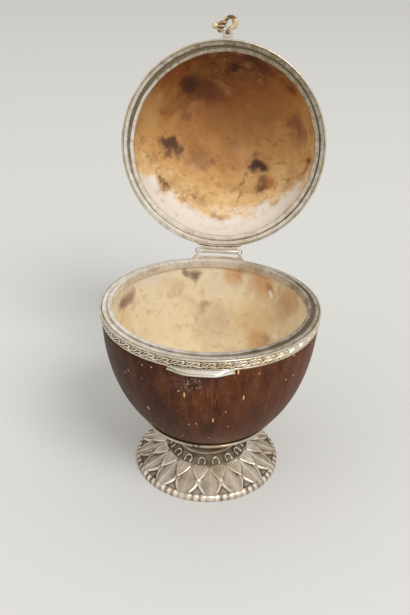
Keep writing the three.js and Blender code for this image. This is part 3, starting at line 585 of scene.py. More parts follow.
def unroll(piece):
    """Lays the shell out flat for the marks on it: how far round it and along the fibre, with no seam in a
    face, and how far from the axis."""
    mesh = piece.data
    vertex = np.empty(len(mesh.loops), int)
    mesh.loops.foreach_get("vertex_index", vertex)
    along = vectors(mesh.attributes["fibre"].data, "vector")[:, 2]
    rows = len(mesh.vertices) // shell_columns
    column = vertex // rows
    last = np.repeat(np.arange(len(mesh.polygons)) // rows == shell_columns - 1, 4)
    column[last & (column == 0)] = shell_columns
    x, y, _ = vectors(mesh.vertices, "co").T
    from_axis = np.hypot(x, y - axis_y * MM)
    round_it = column * math.tau / shell_columns * shell_radius * MM
    flat = np.stack([round_it, along[vertex], from_axis[vertex]], -1)
    mesh.attributes.new("unrolled", "FLOAT_VECTOR", "CORNER").data.foreach_set("vector", flat.ravel())


def coconut_half(name, outline, inside, rebate, depth, middle, way, shift):
    """Half a nut, whose end lies below (way -1) or above (1) the belly's height, middle. Its fibres' heights
    are shifted, so that no two halves are streaked alike."""

    def waves(angle, radius, height):
        """A nut is never quite round: low ridges run down it, and fade out at the rebate."""
        swell = 0.16 * np.sin(3 * angle + 0.6) + 0.1 * np.sin(5 * angle + height / 17)
        swell *= np.clip(radius / 20, 0, 1) * np.clip(way * (height - rebate) / 8, 0, 1)
        return angle, radius + swell, height

    def fibre(angle, radius, height):
        along = height + shift + way * np.clip(gathered - radius, 0, gathered)
        return np.stack([shell_radius * np.sin(angle), shell_radius * np.cos(angle), along], -1)

    piece = turned(name, outline, shell_columns, shell_outside, waves, fibre=fibre)
    unroll(piece)
    line_inside(piece, inside, depth, middle, way)
    return piece


# Deep red brown with a low sheen, as oiled wood has
shell_outside = coconut_outside("coconut_shell_polished")
bowl_stains = [  # the real bowl's marks, listed one by one
    (22.1, 13.2, 63.7, 15, 0.4, "#d2a560"), (-45.6, -12.2, 73, 9, 0.4, "#d9b878"),
    (-0.1, 16.7, 57.1, 13, 0.4, "#b79f88"), (-17.5, 19.2, 87.3, 3.4, 0.8, "#8a6a5c"),
    (-13.2, 20.4, 85.3, 4.4, 0.85, "#6f5044"), (-46.1, -10.9, 82.4, 5.5, 0.8, "#7d5a4c"),
    (-43.9, -5.4, 83.2, 5, 0.7, "#8a6554"), (-7.3, 19.1, 67.4, 4, 0.55, "#8f7a68"),
    (9.8, 21.3, 87.2, 8, 0.55, "#cb8a42"), (24.8, 15.4, 84.3, 10, 0.6, "#c9853f"),
    (39.9, 1.4, 83.3, 10, 0.55, "#b9793f"), (35.6, 5.8, 76, 9, 0.45, "#a8764a"),
    (28.1, 13.1, 83.3, 4, 0.5, "#8d5a35"), (24.4, 7.1, 53.4, 9, 0.5, "#c98a50"),
    (28.7, 5.8, 57, 4, 0.5, "#a07a60"), (-25.9, 11.1, 64.8, 5, 0.4, "#efe0c8"),
    (-35.1, 7.9, 92, 11, 0.85, "#e0d6ca"), (-42, -2, 91, 6, 0.7, "#ddd2c8"),
    (-24, 16, 92.5, 7, 0.6, "#e3d8ca"), (0.1, 21.7, 78.4, 9, 0.5, "#e6d6c4"),
    (15.4, 19.7, 85.9, 3, 0.6, "#eddcc6"), (-36.5, -0.6, 60.5, 6, 0.4, "#e0c4a4"),
    (28.8, 12.4, 81.2, 2, 0.95, "#f6ece0"), (32.9, 3.4, 59.9, 2.6, 0.9, "#f2e6d4")]
# Pale cream, with honey, grey and brown stains towards the rim
bowl_inside = coconut_inside("coconut_shell_scraped_bowl", [(60, "#e7d6b2"), (92, "#eddfc2")], bowl_stains,
                             0.3, blur=4)
outer_arc = shell_arc(shell_radius, shell_depth, screw_bore, belly_height - rebate_foot, 64)
inner_arc = shell_arc(shell_mouth, shell_depth - shell_wall, screw_bore, 0, 48)
bowl_outline = [(r, belly_height - d) for r, d in outer_arc]
bowl_outline += [(rebate_radius, rebate_foot), (rebate_radius, shell_top), (shell_mouth, shell_top)]
bowl_outline += [(r, belly_height - d) for r, d in inner_arc[::-1]]
bowl_shell = coconut_half("bowl_shell_coconut", bowl_outline, bowl_inside, rebate_foot, shell_depth,
                          belly_height, -1, 0)
fit(bowl_shell, "base", "coconut_shell", "bowl_shell")

# Fixing screw, washer and nut
# A turned brass screw goes down through the shell's end, over a washer, into a nut under the neck's floor.
# They are dull, and the bowl hides them unless it is looked into from above.
washer_low, washer_high = node_box("fixing_washer")
screw_low, screw_high = node_box("fixing_screw")
washer_radius = (washer_high.x - washer_low.x) / 2
head_radius = (screw_high.x - screw_low.x) / 2
head_foot = washer_high.z + seat_gap
head_side = head_foot + 0.6  # where the head's side turns into its dome
slot_bottom = head_foot + 0.7
slot_half_width = 0.5
screw_radius = 1.9
screw_chamfer = 0.2
# Turned brass that no cloth reaches: grey brown and dull
fixing_metal = silvered_brass("turned_metal_dull", "#8d857a", "#4a4138", "#8a7658", cloud=3, patchy=0.5,
                              shine=0.42)
washer = turned("fixing_washer_flat", flat_ring(screw_bore, washer_radius, washer_low.z, washer_high.z, 0.2),
                64, fixing_metal)
fit(washer, "base", "fixing_metal", "fixing_washer")


def slotted(angle, radius, height):
    """The driver's slot, filed across the head."""
    in_slot = (np.abs(radius * np.cos(angle)) < slot_half_width) & (height > slot_bottom)
    return angle, radius, np.where(in_slot, slot_bottom, height)


screw_outline = [(0.02, screw_low.z), (screw_radius - screw_chamfer, screw_low.z),
                 (screw_radius, screw_low.z + 0.3), (screw_radius, head_foot), (head_radius, head_foot)]
screw_outline += [(head_radius * math.cos(t), head_side + (screw_high.z - head_side) * math.sin(t))
                  for t in np.linspace(0, 1.54, 14)]
screw = turned("fixing_screw_slotted", screw_outline + [(0.02, screw_high.z)], 96, fixing_metal, slotted)
fit(screw, "base", "fixing_metal", "fixing_screw")
frame["nodes"]["fixing_nut"].data.materials.clear()
frame["nodes"]["fixing_nut"].data.materials.append(fixing_metal)

# Bowl rim ring
# The mount on the bowl's mouth, made in one: a flat ledge that the lid comes down on, a groove, a raised lip
# and a skirt that grips the shell from inside. Its edges are soft, and the groove holds black grime and
# painted shade.
ring_low, ring_high = node_box("bowl_rim_ring")
rim_height = 94
ring_columns = 384
ledge_outer = (ring_high.x - ring_low.x) / 2
ledge_inner, lip_outer, lip_inner = ledge_outer - 1.8, ledge_outer - 3, ledge_outer - 4.6
groove_middle = (ledge_inner + lip_outer) / 2
groove_depth = 0.5
skirt_outer = lip_inner + 0.8
bowl_ring_thickness = 1
bowl_lip = rim_height - ring_high.z  # less than 0, since the lip stands proud of the ledge


def rim_outline(face, away, lip, thickness, foot):
    """Section of a rim ring. away is +1 or -1, the way from the joint into the shell; lip is how far the lip
    stands back from the ledge's face, and foot the height where the skirt ends."""
    lip_face = face + away * lip
    groove = face + away * (max(lip, 0) + groove_depth)
    back = face + away * thickness
    return rounded([(lip_inner, lip_face), (lip_outer, lip_face), (lip_outer, groove), (ledge_inner, groove),
                    (ledge_inner, face), (ledge_outer, face), (ledge_outer, back), (skirt_outer, back),
                    (skirt_outer, foot), (lip_inner, foot)], 0.22)


def ring_dirt_and_shade(darkest, mean, swing):
    """Dark in the groove, with grime and painted shade, and dull all round; most at the angle darkest, in
    degrees, where that is partly painted shade.
    """
    def dirt_and_shade(angle, radius, height):
        groove = 0.75 * soft_step(np.abs(radius - groove_middle), 0.75, 0.4)
        return np.clip(groove + mean + swing * np.cos(angle - math.radians(darkest)), 0, 1)
    return dirt_and_shade


def lip_bent(widest, most, spread):
    """The lip was set by eye: round the angle widest, in degrees, it stands most mm further in and the
    groove is wider. On the other side the lip was hammered spread mm wider."""
    def bent(angle, radius, height):
        side = np.clip(np.cos(angle - math.radians(widest)), 0, 1) ** 1.5
        dent = 0.1 * np.sin(11 * angle + 0.5) * np.sin(4 * angle) + 0.07 * np.sin(23 * angle + 1)
        near = soft_step(ledge_inner - radius, 0.3, 1.1) * soft_step(radius, lip_inner - 2, lip_inner)
        edge = soft_step(radius, lip_inner + 0.4, lip_outer) * (radius < ledge_inner - 0.7)
        return angle, radius + near * (dent - most * side) + edge * spread * (1 - side), height
    return bent


# Handled every day: pale, with a film that scatters more light than the other mounts' does
ring_silver = silvered_brass("silvered_brass_bowl_ring", "#f0e8dd", "#6f604b", "#d6c8ae", cloud=5, dent=3,
                             dent_depth=0.2, patchy=0.4, film=0.6)
bowl_ring = turned("bowl_rim_ring_lipped",
                   rim_outline(rim_height, -1, bowl_lip, bowl_ring_thickness, ring_low.z), ring_columns,
                   ring_silver, lip_bent(85, 0.7, 0.3), ring_dirt_and_shade(80, 0.13, 0.5))
fit(bowl_ring, "base", "silvered_metal", "bowl_rim_ring")

# Bowl wires
# Two round wires edge the leaf band: one against the ledge, one along the band's foot. Both are drawn wire,
# bent to the shell and soldered, so they wander a little.
wire_thickness = 1.1
upper_low, upper_high = node_box("bowl_upper_wire")
lower_low, lower_high = node_box("bowl_lower_wire")
ledge_wire_radius = upper_high.x - wire_thickness / 2
foot_wire_radius = lower_high.x - wire_thickness / 2
# Drawn wire, smoother and brighter than sheet
wire_silver = silvered_brass("silvered_brass_wire", "#dbcfba", "#75664f", "#c3ae87", cloud=4, patchy=0.4,
                             shine=0.25)
bowl_upper_wire = hoop("bowl_wire_at_ledge", ledge_wire_radius, (upper_low.z + upper_high.z) / 2,
                       wire_thickness, wire_silver, wander=0.05)
fit(bowl_upper_wire, "base", "silvered_metal", "bowl_upper_wire")
bowl_lower_wire = hoop("bowl_wire_at_foot", foot_wire_radius, (lower_low.z + lower_high.z) / 2,
                       wire_thickness, wire_silver, wander=0.06)
fit(bowl_lower_wire, "base", "silvered_metal", "bowl_lower_wire")

# Leaf band
# A strip of brass stamped with running leaves, bent round the shell between the two wires. Each leaf has
# three strands that flow to the right and hook back, and two short ones. Gilt brown stays between them, and
# the crests are rubbed bright.
band_low, band_high = node_box("bowl_leaf_band")
band_back, band_face = 52.7, 53.45
band_relief = 0.62
band_leaves = 48
band_columns, band_rows = 26, 20
leaf_pitch = math.tau * band_face / band_leaves
strands = [  # points along each, to the right of the leaf's start and above the band's middle; half width
    ([(-1.3, -1.3), (0.6, -1.05), (2.3, -0.35), (3.9, 0.55), (5.3, 1), (6.3, 0.8), (6.5, 0.2), (5.9, 0)],
     0.5),
    ([(0.7, -0.1), (1.6, 0.7), (2.9, 1.25), (4.1, 1.35)], 0.44),
    ([(2.2, -1.3), (3.6, -0.85), (4.9, -0.55), (6.0, -0.85), (6.1, -1.3)], 0.42),
    ([(0.2, 0.9), (0.9, 1.35), (1.6, 1.4)], 0.36),
    ([(4.3, -1.35), (4.8, -1.3), (5.2, -1.2)], 0.32)]
full_strand = 0.42  # half as wide as a strand needs to be to stand as high as the relief


def strand_height(sideways, up):
    """Relief of the running leaves, 0 on the ground and 1 on a crest."""
    relief = np.zeros_like(sideways)
    for corners, half_width in strands:
        curve = np.array(smooth_curve(corners, 10))
        taper = np.linspace(0.75, 1, len(curve)) * half_width
        for shift in (-leaf_pitch, 0, leaf_pitch):
            away = np.hypot(sideways[..., None] - curve[:, 0] - shift, up[..., None] - curve[:, 1])
            crest = np.sqrt(np.clip(1 - (away / taper) ** 2, 0, 1)).max(-1)
            relief = np.maximum(relief, crest * half_width / full_strand)
    return np.clip(relief, 0, 1)


def leaf_band_piece():
    """One leaf is worked out and repeated all round."""
    middle = (band_low.z + band_high.z) / 2
    half = (band_high.z - band_low.z) / 2
    rows = np.linspace(-half, half, band_rows)
    along = np.arange(band_columns) * leaf_pitch / band_columns
    leaf = np.tile(strand_height(*np.meshgrid(along, rows, indexing="ij")), (band_leaves, 1))
    outline = [(band_back, band_low.z)] + [(band_face, middle + v) for v in rows]
    outline += [(band_back, band_high.z)]
    flat = np.zeros((len(leaf), 1))
    leaf = np.hstack([flat, leaf, flat])

    def stamped(angle, radius, height):
        return angle, radius + band_relief * leaf, height

    def dirt_and_shade(angle, radius, height):
        """Brown on the ground, and darker on the left side, which is painted shade."""
        return np.clip(0.9 - 1.25 * leaf - 0.35 * np.sin(angle), 0, 1)

    return turned("bowl_leaf_band_stamped", outline, band_leaves * band_columns, band_metal, stamped, dirt_and_shade)


# Stamped strip: warm cream crests, dark brown ground
band_metal = silvered_brass("silvered_brass_stamped_band", "#eadec9", "#4d3f2d", "#cbae80", cloud=6, dent=3,
                            dent_depth=0.05, patchy=0.25, shine=0.3)
leaf_band = leaf_band_piece()
fit(leaf_band, "base", "leaf_band_metal", "bowl_leaf_band")

# Catch plate
# A crescent of brass soldered under the band at the front. It slopes out to a doubled edge, which the hasp's
# bell hangs in front of, and the thumb has rubbed it almost white.
catch_top = node_box("catch_plate")[1].z
catch_half_angle = 16
catch_back, catch_face = 53.7, 54.1
catch_thickness = 1.2
catch_ledge = 87.3
catch_lip = catch_ledge + 0.6


def swept(name, sections, material, hollow=None):
    """A solid through equal closed sections, each a list of points, with flat ends."""
    count = len(sections[0])
    points = np.array(sections).reshape(-1, 3)
    here = np.arange(len(points)).reshape(-1, count)
    before, after = here[:-1], here[1:]
    sides = np.stack([before, after, np.roll(after, -1, 1), np.roll(before, -1, 1)], -1).reshape(-1, 4)
    faces = [*sides.tolist(), here[0].tolist(), here[-1][::-1].tolist()]
    piece = make_piece(name, points, faces, material, hollow)
    body = bmesh.new()
    body.from_mesh(piece.data)
    bmesh.ops.recalc_face_normals(body, faces=body.faces)
    body.to_mesh(piece.data)
    body.free()
    return piece


def catch_piece():
    """Swept round the front. It is widest in the middle and runs out at both ends."""
    sections, grime_and_shade = [], []
    for along in np.linspace(-1, 1, 61):
        angle = math.radians(along * catch_half_angle)
        lip = catch_face + 0.9 + 2.2 * soft_step(1 - abs(along), 0, 0.62)
        furrow = lip - 0.42  # between the edge's two lines
        section = rounded([(catch_back, catch_ledge - catch_thickness), (lip, catch_lip - 0.9),
                           (lip, catch_lip), (lip - 0.3, catch_lip + 0.1), (furrow, catch_lip - 0.12),
                           (lip - 0.55, catch_lip + 0.15), (catch_face + 0.8, catch_top),
                           (catch_face, catch_top), (catch_face, catch_ledge), (catch_back, catch_ledge)],
                          0.3, 3)
        sections.append([(r * math.sin(angle), axis_y - r * math.cos(angle), z) for r, z in section])
        # Darker towards the left end: painted shade, away from the lamp. The furrow is dark too.
        dull = 0.4 * float(soft_step(-along, 0.15, 0.8))
        grime_and_shade.append([dull + 0.9 * math.exp(-((r - furrow) ** 2 + (z - catch_lip) ** 2) / 0.05)
                     for r, z in section])
    return swept("catch_plate_lip", sections, catch_silver, grime_and_shade)


# Rubbed almost white by the thumb
catch_silver = silvered_brass("silvered_brass_rubbed", "#f4efe5", "#85765f", "#e2d6bf", cloud=5, patchy=0.25,
                              shine=0.25)
catch_plate = catch_piece()
fit(catch_plate, "base", "silvered_metal", "catch_plate")

# Hinge, bowl half
# Cut from sheet, bent round the back of the band, and turned up into two ears that hold the pin. The ears
# flare where they meet the mounts.
bracket_low, bracket_high = node_box("hinge_bracket")
pin_low, pin_high = node_box("hinge_pin")
pin_y, pin_z = (pin_low.y + pin_high.y) / 2, (pin_low.z + pin_high.z) / 2
mount_outer = 54.4
seat_radius = mount_outer + seat_gap  # where sheet that is bent round the mounts has its inside
bracket_half = (bracket_high.x - bracket_low.x) / 2
barrel_half, slot_half = 12.1, 10.75
knuckle_radius = 1.4
pin_radius = 0.6
bore_play = 0.15
bracket_sheet = 1.1
ear_top = rim_height + 2.4
ear_foot = bracket_low.z + 2
slot_floor = rim_height + 0.2
flare_foot = rim_height - 0.6


def solid_between(outline, start, end, place):
    """A plate cut to an outline, from start to end, as a bmesh. place puts the outline's two coordinates and
    the one from start to end in their order."""
    body = bmesh.new()
    rings = [[body.verts.new(place(a, b, along)) for a, b in outline] for along in (start, end)]
    body.faces.new(rings[0])
    body.faces.new(rings[1][::-1])
    for i in range(len(outline)):
        k = (i + 1) % len(outline)
        body.faces.new([rings[0][i], rings[0][k], rings[1][k], rings[1][i]])
    bmesh.ops.recalc_face_normals(body, faces=body.faces)
    return body


def as_object(body):
    """An object from a bmesh. These parts are in millimetres until make_piece takes them over."""
    mesh = bpy.data.meshes.new("part")
    body.to_mesh(mesh)
    body.free()
    return add_object("part", mesh)


def bent_plate(outline, thickness, front=False):
    """A sheet cut to an outline of (x, z) and bent round the mounts, behind the bowl or in front."""
    body = solid_between(outline, 0, thickness, lambda x, z, y: (x, y, z))
    span = [x for x, _ in outline]
    for x in np.arange(math.floor(min(span)) + 1, max(span), 1.2):
        bmesh.ops.bisect_plane(body, geom=body.verts[:] + body.edges[:] + body.faces[:], plane_co=(x, 0, 0),
                               plane_no=(1, 0, 0), dist=1e-5)
    for v in body.verts:
        out = math.sqrt((seat_radius + v.co.y) ** 2 - v.co.x ** 2)
        v.co.y = axis_y + (-out if front else out)
    bmesh.ops.recalc_face_normals(body, faces=body.faces)
    return as_object(body)


def plate_along_x(outline, start, end):
    """A plate cut to an outline of (y, z)."""
    return as_object(solid_between(outline, start, end, lambda y, z, x: (x, y, z)))


def rod_along_x(radius, start, end, y, z, sides=40):
    """A round rod, for a knuckle or a pin, or to bore with."""
    circle = [(y + radius * math.cos(t), z + radius * math.sin(t))
              for t in np.arange(sides) * math.tau / sides]
    return plate_along_x(circle, start, end)


def pin_bore():
    """What is bored out of the knuckles for the hinge's pin."""
    return rod_along_x(pin_radius + bore_play, -bracket_half, bracket_half, pin_y, pin_z, 24)


def inside_sheet(aside):
    """How far back a plate starts so that it ends inside the bent sheet, this far aside of the middle."""
    return axis_y + math.sqrt(seat_radius ** 2 - aside ** 2) + 0.6


def joined(parts, cuts, *finishes):
    """Points and faces of parts made one, with the cuts taken out of them. Each finish is the kind of a
    modifier and its settings."""
    base = parts[0]
    for operation, others in (("UNION", parts[1:]), ("DIFFERENCE", cuts)):
        for other in others:
            join = base.modifiers.new("join", "BOOLEAN")
            join.operation, join.object, join.solver = operation, other, "EXACT"
    for kind, settings in finishes:
        finish = base.modifiers.new("finish", kind)
        for setting, value in settings.items():
            setattr(finish, setting, value)
    mesh = bpy.data.meshes.new_from_object(base.evaluated_get(bpy.context.evaluated_depsgraph_get()))
    for part in (*parts, *cuts):
        bpy.data.objects.remove(part)
    return vectors(mesh.vertices, "co"), [list(p.vertices) for p in mesh.polygons]


def built_up(name, parts, cuts, material, edge=0.18):
    """Parts soldered into one piece, then bored, with every sharp edge broken."""
    broken = {"width": edge, "segments": 3, "limit_method": "ANGLE", "angle_limit": math.radians(38)}
    return make_piece(name, *joined(parts, cuts, ("BEVEL", broken)), material)


ear_root = inside_sheet(barrel_half)
ear = [(ear_root, ear_foot), (ear_root + 2.2, ear_foot), (pin_y + knuckle_radius, pin_z - 0.2),
       (pin_y, pin_z + knuckle_radius * 0.9), (pin_y - knuckle_radius, pin_z), (ear_root, ear_top)]
half_bracket = [(bracket_half, bracket_low.z), (bracket_half, flare_foot), (barrel_half, ear_top),
                (slot_half, ear_top), (slot_half, slot_floor)]
bracket_parts = [bent_plate(half_bracket + [(-x, z) for x, z in half_bracket[::-1]], bracket_sheet)]
for start, end in ((-barrel_half, -slot_half), (slot_half, barrel_half)):
    bracket_parts += [plate_along_x(ear, start, end), rod_along_x(knuckle_radius, start, end, pin_y, pin_z)]
# Cleaner and a little whiter than the band beside it
hinge_silver = silvered_brass("silvered_brass_hinge", "#f2e9dc", "#857661", "#dccdb2", cloud=4, patchy=0.35,
                              shine=0.27, film=0.45)
bracket = built_up("hinge_bracket_bent", bracket_parts, [pin_bore()], hinge_silver)
fit(bracket, "base", "silvered_metal", "hinge_bracket")

# Hinge pin
# A piece of brass wire pushed through the knuckles of both halves. Each end was hammered a little wider, so
# that it can't slip out.
pin_reach = pin_high.x
pin_neck = pin_reach - 0.5  # where the wider end starts
pin_end_radius = pin_radius * 1.7
pin_parts = [rod_along_x(radius, start, end, pin_y, pin_z, 32)
             for radius, start, end in ((pin_radius, -pin_reach, pin_reach),
                                        (pin_end_radius, -pin_reach, -pin_neck),
                                        (pin_end_radius, pin_neck, pin_reach))]
hinge_pin = built_up("hinge_pin_spread", pin_parts, [], mount_silver, 0.12)
fit(hinge_pin, "base", "silvered_metal", "hinge_pin")

# Lid shell
# The upper part of the same nut, hinged back as far as it goes. It is drawn shut and turned open about the
# pin. Inside it is darker towards the front and pale near the hinge: partly oil and smoke stains, partly
# painted light near the hinge and painted shade towards the front.
lid_depth = 45.9
joint_plane = rim_height + seat_gap / 2
lid_face = rim_height + seat_gap
lid_ring_thickness = 1.3
lid_skirt_end = lid_face + lid_ring_thickness + 2.4
lid_step = lid_skirt_end + seat_gap  # where the shell's inside narrows past the ring's skirt
lid_rebate_top = lid_face + 6.4
lid_edge = lid_face + lid_ring_thickness + seat_gap
pin_place = Vector((0, pin_y, pin_z)) * MM


def joint(name):
    """A joint of the record."""
    return next(j for j in frame["joints"] if j["name"] == name)


open_angle = math.radians(joint("lid_hinge")["range_deg"][1])
opened = (Matrix.Translation(pin_place) @ Matrix.Rotation(-open_angle, 4, "X")
          @ Matrix.Translation(-pin_place))


def open_up(piece):
    """Turns a piece that was drawn with the lid shut to where it is with the lid open."""
    piece.data.transform(opened)
    return piece


lid_outer = shell_arc(shell_radius, lid_depth, 0.03, lid_rebate_top - joint_plane, 56)
lid_inner = shell_arc(shell_mouth, joint_plane + lid_depth - shell_wall - lid_step, 0.03, 0, 48)
lid_outline = [(rebate_radius, lid_edge), (rebate_radius, lid_rebate_top)]
lid_outline += [(r, joint_plane + d) for r, d in lid_outer[::-1]]
lid_outline += [(r, lid_step + d) for r, d in lid_inner] + [(shell_mouth, lid_edge)]
lid_bands = [(106, "#ecd0a0"), (117, "#d6ad72"), (131, "#c19258"), (150, "#ad7840"), (168, "#935728"),
             (186, "#65351a")]
lid_stains = [  # the real lid's marks, listed one by one
    (-41.7, 59, 169.4, 12, 0.6, "#c39d6a"), (-43.1, 60.2, 159.7, 11, 0.55, "#c8a068"),
    (-24.8, 63.8, 186.7, 9, 0.55, "#94521f"), (-15.2, 63.7, 192.3, 7, 0.4, "#7c4520"),
    (18.4, 77.5, 157.8, 13, 0.35, "#a0713f"), (-3.4, 79.9, 156.2, 10, 0.35, "#a57a45"),
    (-21.8, 72.6, 176.3, 11, 0.9, "#3f1d0e"), (-13, 76, 172.5, 9, 0.6, "#55290f"),
    (-8.8, 78.2, 170.6, 11, 0.5, "#6b3a22"), (1.7, 71.3, 188.3, 5, 0.9, "#2a140d"),
    (14.2, 64.2, 192.3, 9, 0.65, "#3f2212"), (33.7, 62, 179.8, 7, 0.6, "#4e2a16"),
    (-32.2, 70.9, 161.3, 5, 0.55, "#85542c"), (-24.8, 75.4, 161.1, 5.5, 0.6, "#74442a"),
    (-33.7, 68.8, 144.1, 7, 0.92, "#482a1f"), (-28.5, 71, 140, 6.5, 0.8, "#5a3726"),
    (-15.6, 73.4, 132.9, 8, 0.55, "#8c5c3a"), (-8.2, 75.6, 134.3, 3.5, 0.6, "#744a36"),
    (2.6, 73.5, 128.3, 3, 0.5, "#845a42"), (5.3, 77.9, 142, 3.5, 0.45, "#80543a"),
    (7.9, 76.4, 137.2, 8, 0.35, "#cf9f73"), (38.4, 66.7, 159.2, 9, 0.7, "#74402f"),
    (41.2, 63.5, 151.3, 9, 0.6, "#8a5640"), (46.3, 53.4, 143.2, 5, 0.9, "#4d2b27"),
    (18.7, 72.1, 131.9, 6.2, 0.95, "#3c1f1a"), (22.1, 65.8, 123.4, 5.5, 0.85, "#5f3322"),
    (26.7, 64.1, 124.8, 4.5, 0.75, "#a8602f"), (36.2, 66.9, 144.3, 8, 0.4, "#c9995e"),
    (-35.9, 59.1, 128.2, 2.4, 0.85, "#6a4430"), (-33.5, 57, 124, 4, 0.9, "#5f3d2d"),
    (-44.8, 57.3, 147.5, 2.8, 0.85, "#553327"), (-44.8, 57.8, 151, 2, 0.6, "#6c4a35")]
# Chalky white near the hinge, then cream and a warm brown that deepens to the front, all in clouds: partly
# the shell's own stains, partly painted light near the hinge and painted shade towards the front
lid_inside = coconut_inside("coconut_shell_scraped_lid", lid_bands, lid_stains, 0.75, pale="#c4945a",
                            pale_and_lit_below=106.5, sag=80)
lid_shell = open_up(coconut_half("lid_shell_coconut", lid_outline, lid_inside, lid_rebate_top, lid_depth,
                                 joint_plane, 1, 120))
fit(lid_shell, "lid", "coconut_shell", "lid_shell")

# Lid mounts
# The lid's ring has the bowl ring's section, its lip set back to clear the bowl's. Outside it run two wires
# with a plain moulded strip between them. All of it was bent by hand, and it shows.
lid_lip = 0.6
lid_band_low = lid_face + wire_thickness + seat_gap
lid_band_width = 3.3
lid_band_high = lid_band_low + lid_band_width
moulding_face = band_face + 0.4
moulding_slope = 0.9
# Duller and more knocked about than the bowl's ring
lid_ring_silver = silvered_brass("silvered_brass_lid_ring", "#f0e8dc", "#75674f", "#d9cbb0", cloud=4, dent=3,
                                 dent_depth=0.25, patchy=0.4, shine=0.3, film=0.5)
lid_ring_section = rim_outline(lid_face, 1, lid_lip, lid_ring_thickness, lid_skirt_end)
lid_ring = turned("lid_rim_ring_lipped", lid_ring_section, ring_columns, lid_ring_silver,
                  lip_bent(-50, 0.9, 0.5), ring_dirt_and_shade(30, 0.32, 0.52))
fit(open_up(lid_ring), "lid", "silvered_metal", "lid_rim_ring")
lid_wire = hoop("lid_wire_at_ledge", ledge_wire_radius, lid_face + wire_thickness / 2 + 0.2, wire_thickness,
                wire_silver, wander=0.08, dull=0.12, under=-1)
fit(open_up(lid_wire), "lid", "silvered_metal", "lid_lower_wire")
lid_band_section = [(band_back, lid_band_low), (band_face, lid_band_low),
                    (moulding_face, lid_band_low + moulding_slope),
                    (moulding_face, lid_band_high - moulding_slope), (band_face, lid_band_high),
                    (band_back, lid_band_high)]
lid_band = turned("lid_band_moulded", rounded(lid_band_section, 0.5), ring_columns, mount_silver)
fit(open_up(lid_band), "lid", "silvered_metal", "lid_band")
lid_foot_wire = hoop("lid_wire_at_shell", foot_wire_radius, lid_rebate_top - seat_gap - wire_thickness / 2,
                     wire_thickness, wire_silver, wander=0.06, under=-1)
fit(open_up(lid_foot_wire), "lid", "silvered_metal", "lid_upper_wire")

# Hinge, lid half
# A leaf of brass sheet bent round the lid's band and soldered to it. Its edge is rolled into one long
# knuckle that fills the space between the bowl's two ears.
leaf_low = lid_face + 0.2
leaf_high = lid_rebate_top - 1.1
leaf_sheet = 1
knuckle_half = slot_half - seat_gap
leaf_step = pin_z + knuckle_radius + seat_gap
leaf_root = inside_sheet(knuckle_half)
leaf_outline = [(-barrel_half, leaf_step), (-knuckle_half, leaf_step), (-knuckle_half, leaf_low),
                (knuckle_half, leaf_low), (knuckle_half, leaf_step), (barrel_half, leaf_step),
                (barrel_half, leaf_high), (-barrel_half, leaf_high)]
tongue = [(leaf_root, leaf_low), (pin_y - 0.6, pin_z - knuckle_radius * 0.8),
          (pin_y + 0.4, pin_z + knuckle_radius * 0.8), (leaf_root, pin_z + knuckle_radius + 0.8)]
leaf_parts = [bent_plate(leaf_outline, leaf_sheet), plate_along_x(tongue, -knuckle_half, knuckle_half),
              rod_along_x(knuckle_radius, -knuckle_half, knuckle_half, pin_y, pin_z)]
hinge_leaf = built_up("hinge_leaf_rolled", leaf_parts, [pin_bore()], hinge_silver)
fit(open_up(hinge_leaf), "lid", "silvered_metal", "hinge_leaf")

# Hasp staple and pin
# A small brass plate soldered to the lid's front, with two lugs turned up from it, and the rivet through
# them that the hasp turns on.
hasp_pin_y = axis_y - mount_outer - 2.9
hasp_pin_z = lid_band_low + lid_band_width / 2
staple_half = 2.5
lug_start = 1.35
lug_radius = 1.1
lug_root = axis_y - mount_outer - 0.8
rivet_radius, rivet_reach = 0.5, 2.85
rivet_bore = rivet_radius + bore_play
staple_outline = [(-staple_half, lid_face + 0.4), (staple_half, lid_face + 0.4), (staple_half, leaf_high),
                  (-staple_half, leaf_high)]
lug = [(lug_root, hasp_pin_z - lug_radius), (lug_root, hasp_pin_z + lug_radius),
       (hasp_pin_y, hasp_pin_z + lug_radius), (hasp_pin_y, hasp_pin_z - lug_radius)]
staple_parts = [bent_plate(staple_outline, leaf_sheet, front=True)]
for start, end in ((-staple_half, -lug_start), (lug_start, staple_half)):
    staple_parts += [plate_along_x(lug, start, end),
                     rod_along_x(lug_radius, start, end, hasp_pin_y, hasp_pin_z)]
staple_bore = rod_along_x(rivet_bore, -staple_half - 1, staple_half + 1, hasp_pin_y, hasp_pin_z, 24)
staple = built_up("hasp_staple_lugs", staple_parts, [staple_bore], mount_silver)
fit(open_up(staple), "lid", "silvered_metal", "hasp_staple")
rivet_rod = rod_along_x(rivet_radius, -rivet_reach, rivet_reach, hasp_pin_y, hasp_pin_z, 32)
rivet = built_up("hasp_pin_rivet", [rivet_rod], [], mount_silver, 0.1)
fit(open_up(rivet), "lid", "silvered_metal", "hasp_pin")

# Hasp
# Cast brass, once silvered and now worn to gold: a strap that bends over like a hook and holds a fluted bell
# flower with a berry at its root. It stands up from its rivet with the lid open.
strap_points = [  # to the right of the rivet, above it, and half as wide as the strap is there
    (0, 0.2, 0.8), (0.15, 1.4, 0.75), (1.7, 2.35, 0.95), (3.2, 3.2, 1.45), (3.5, 5.2, 1.6), (2.5, 7, 1.2),
    (1.1, 7.6, 0.95), (-0.3, 7.1, 0.9), (-1.2, 5.9, 0.8)]
strap_steps = 6
strap_depth = 1.8
bell_curve = [  # radius, and distance from the berry
    (0.9, 0.9), (1.6, 1.4), (2.2, 2.2), (2.6, 3.3), (2.85, 4.4), (3, 5.3)]
bell_wall = 0.5
bell_flutes = 8
bell_tilt = math.radians(-2)  # where its mouth points, from straight to the right
bell_slant = 0.4, 0.85  # how much further the upper petals reach, and how much less the lower, by height
bell_flatness = 0.64
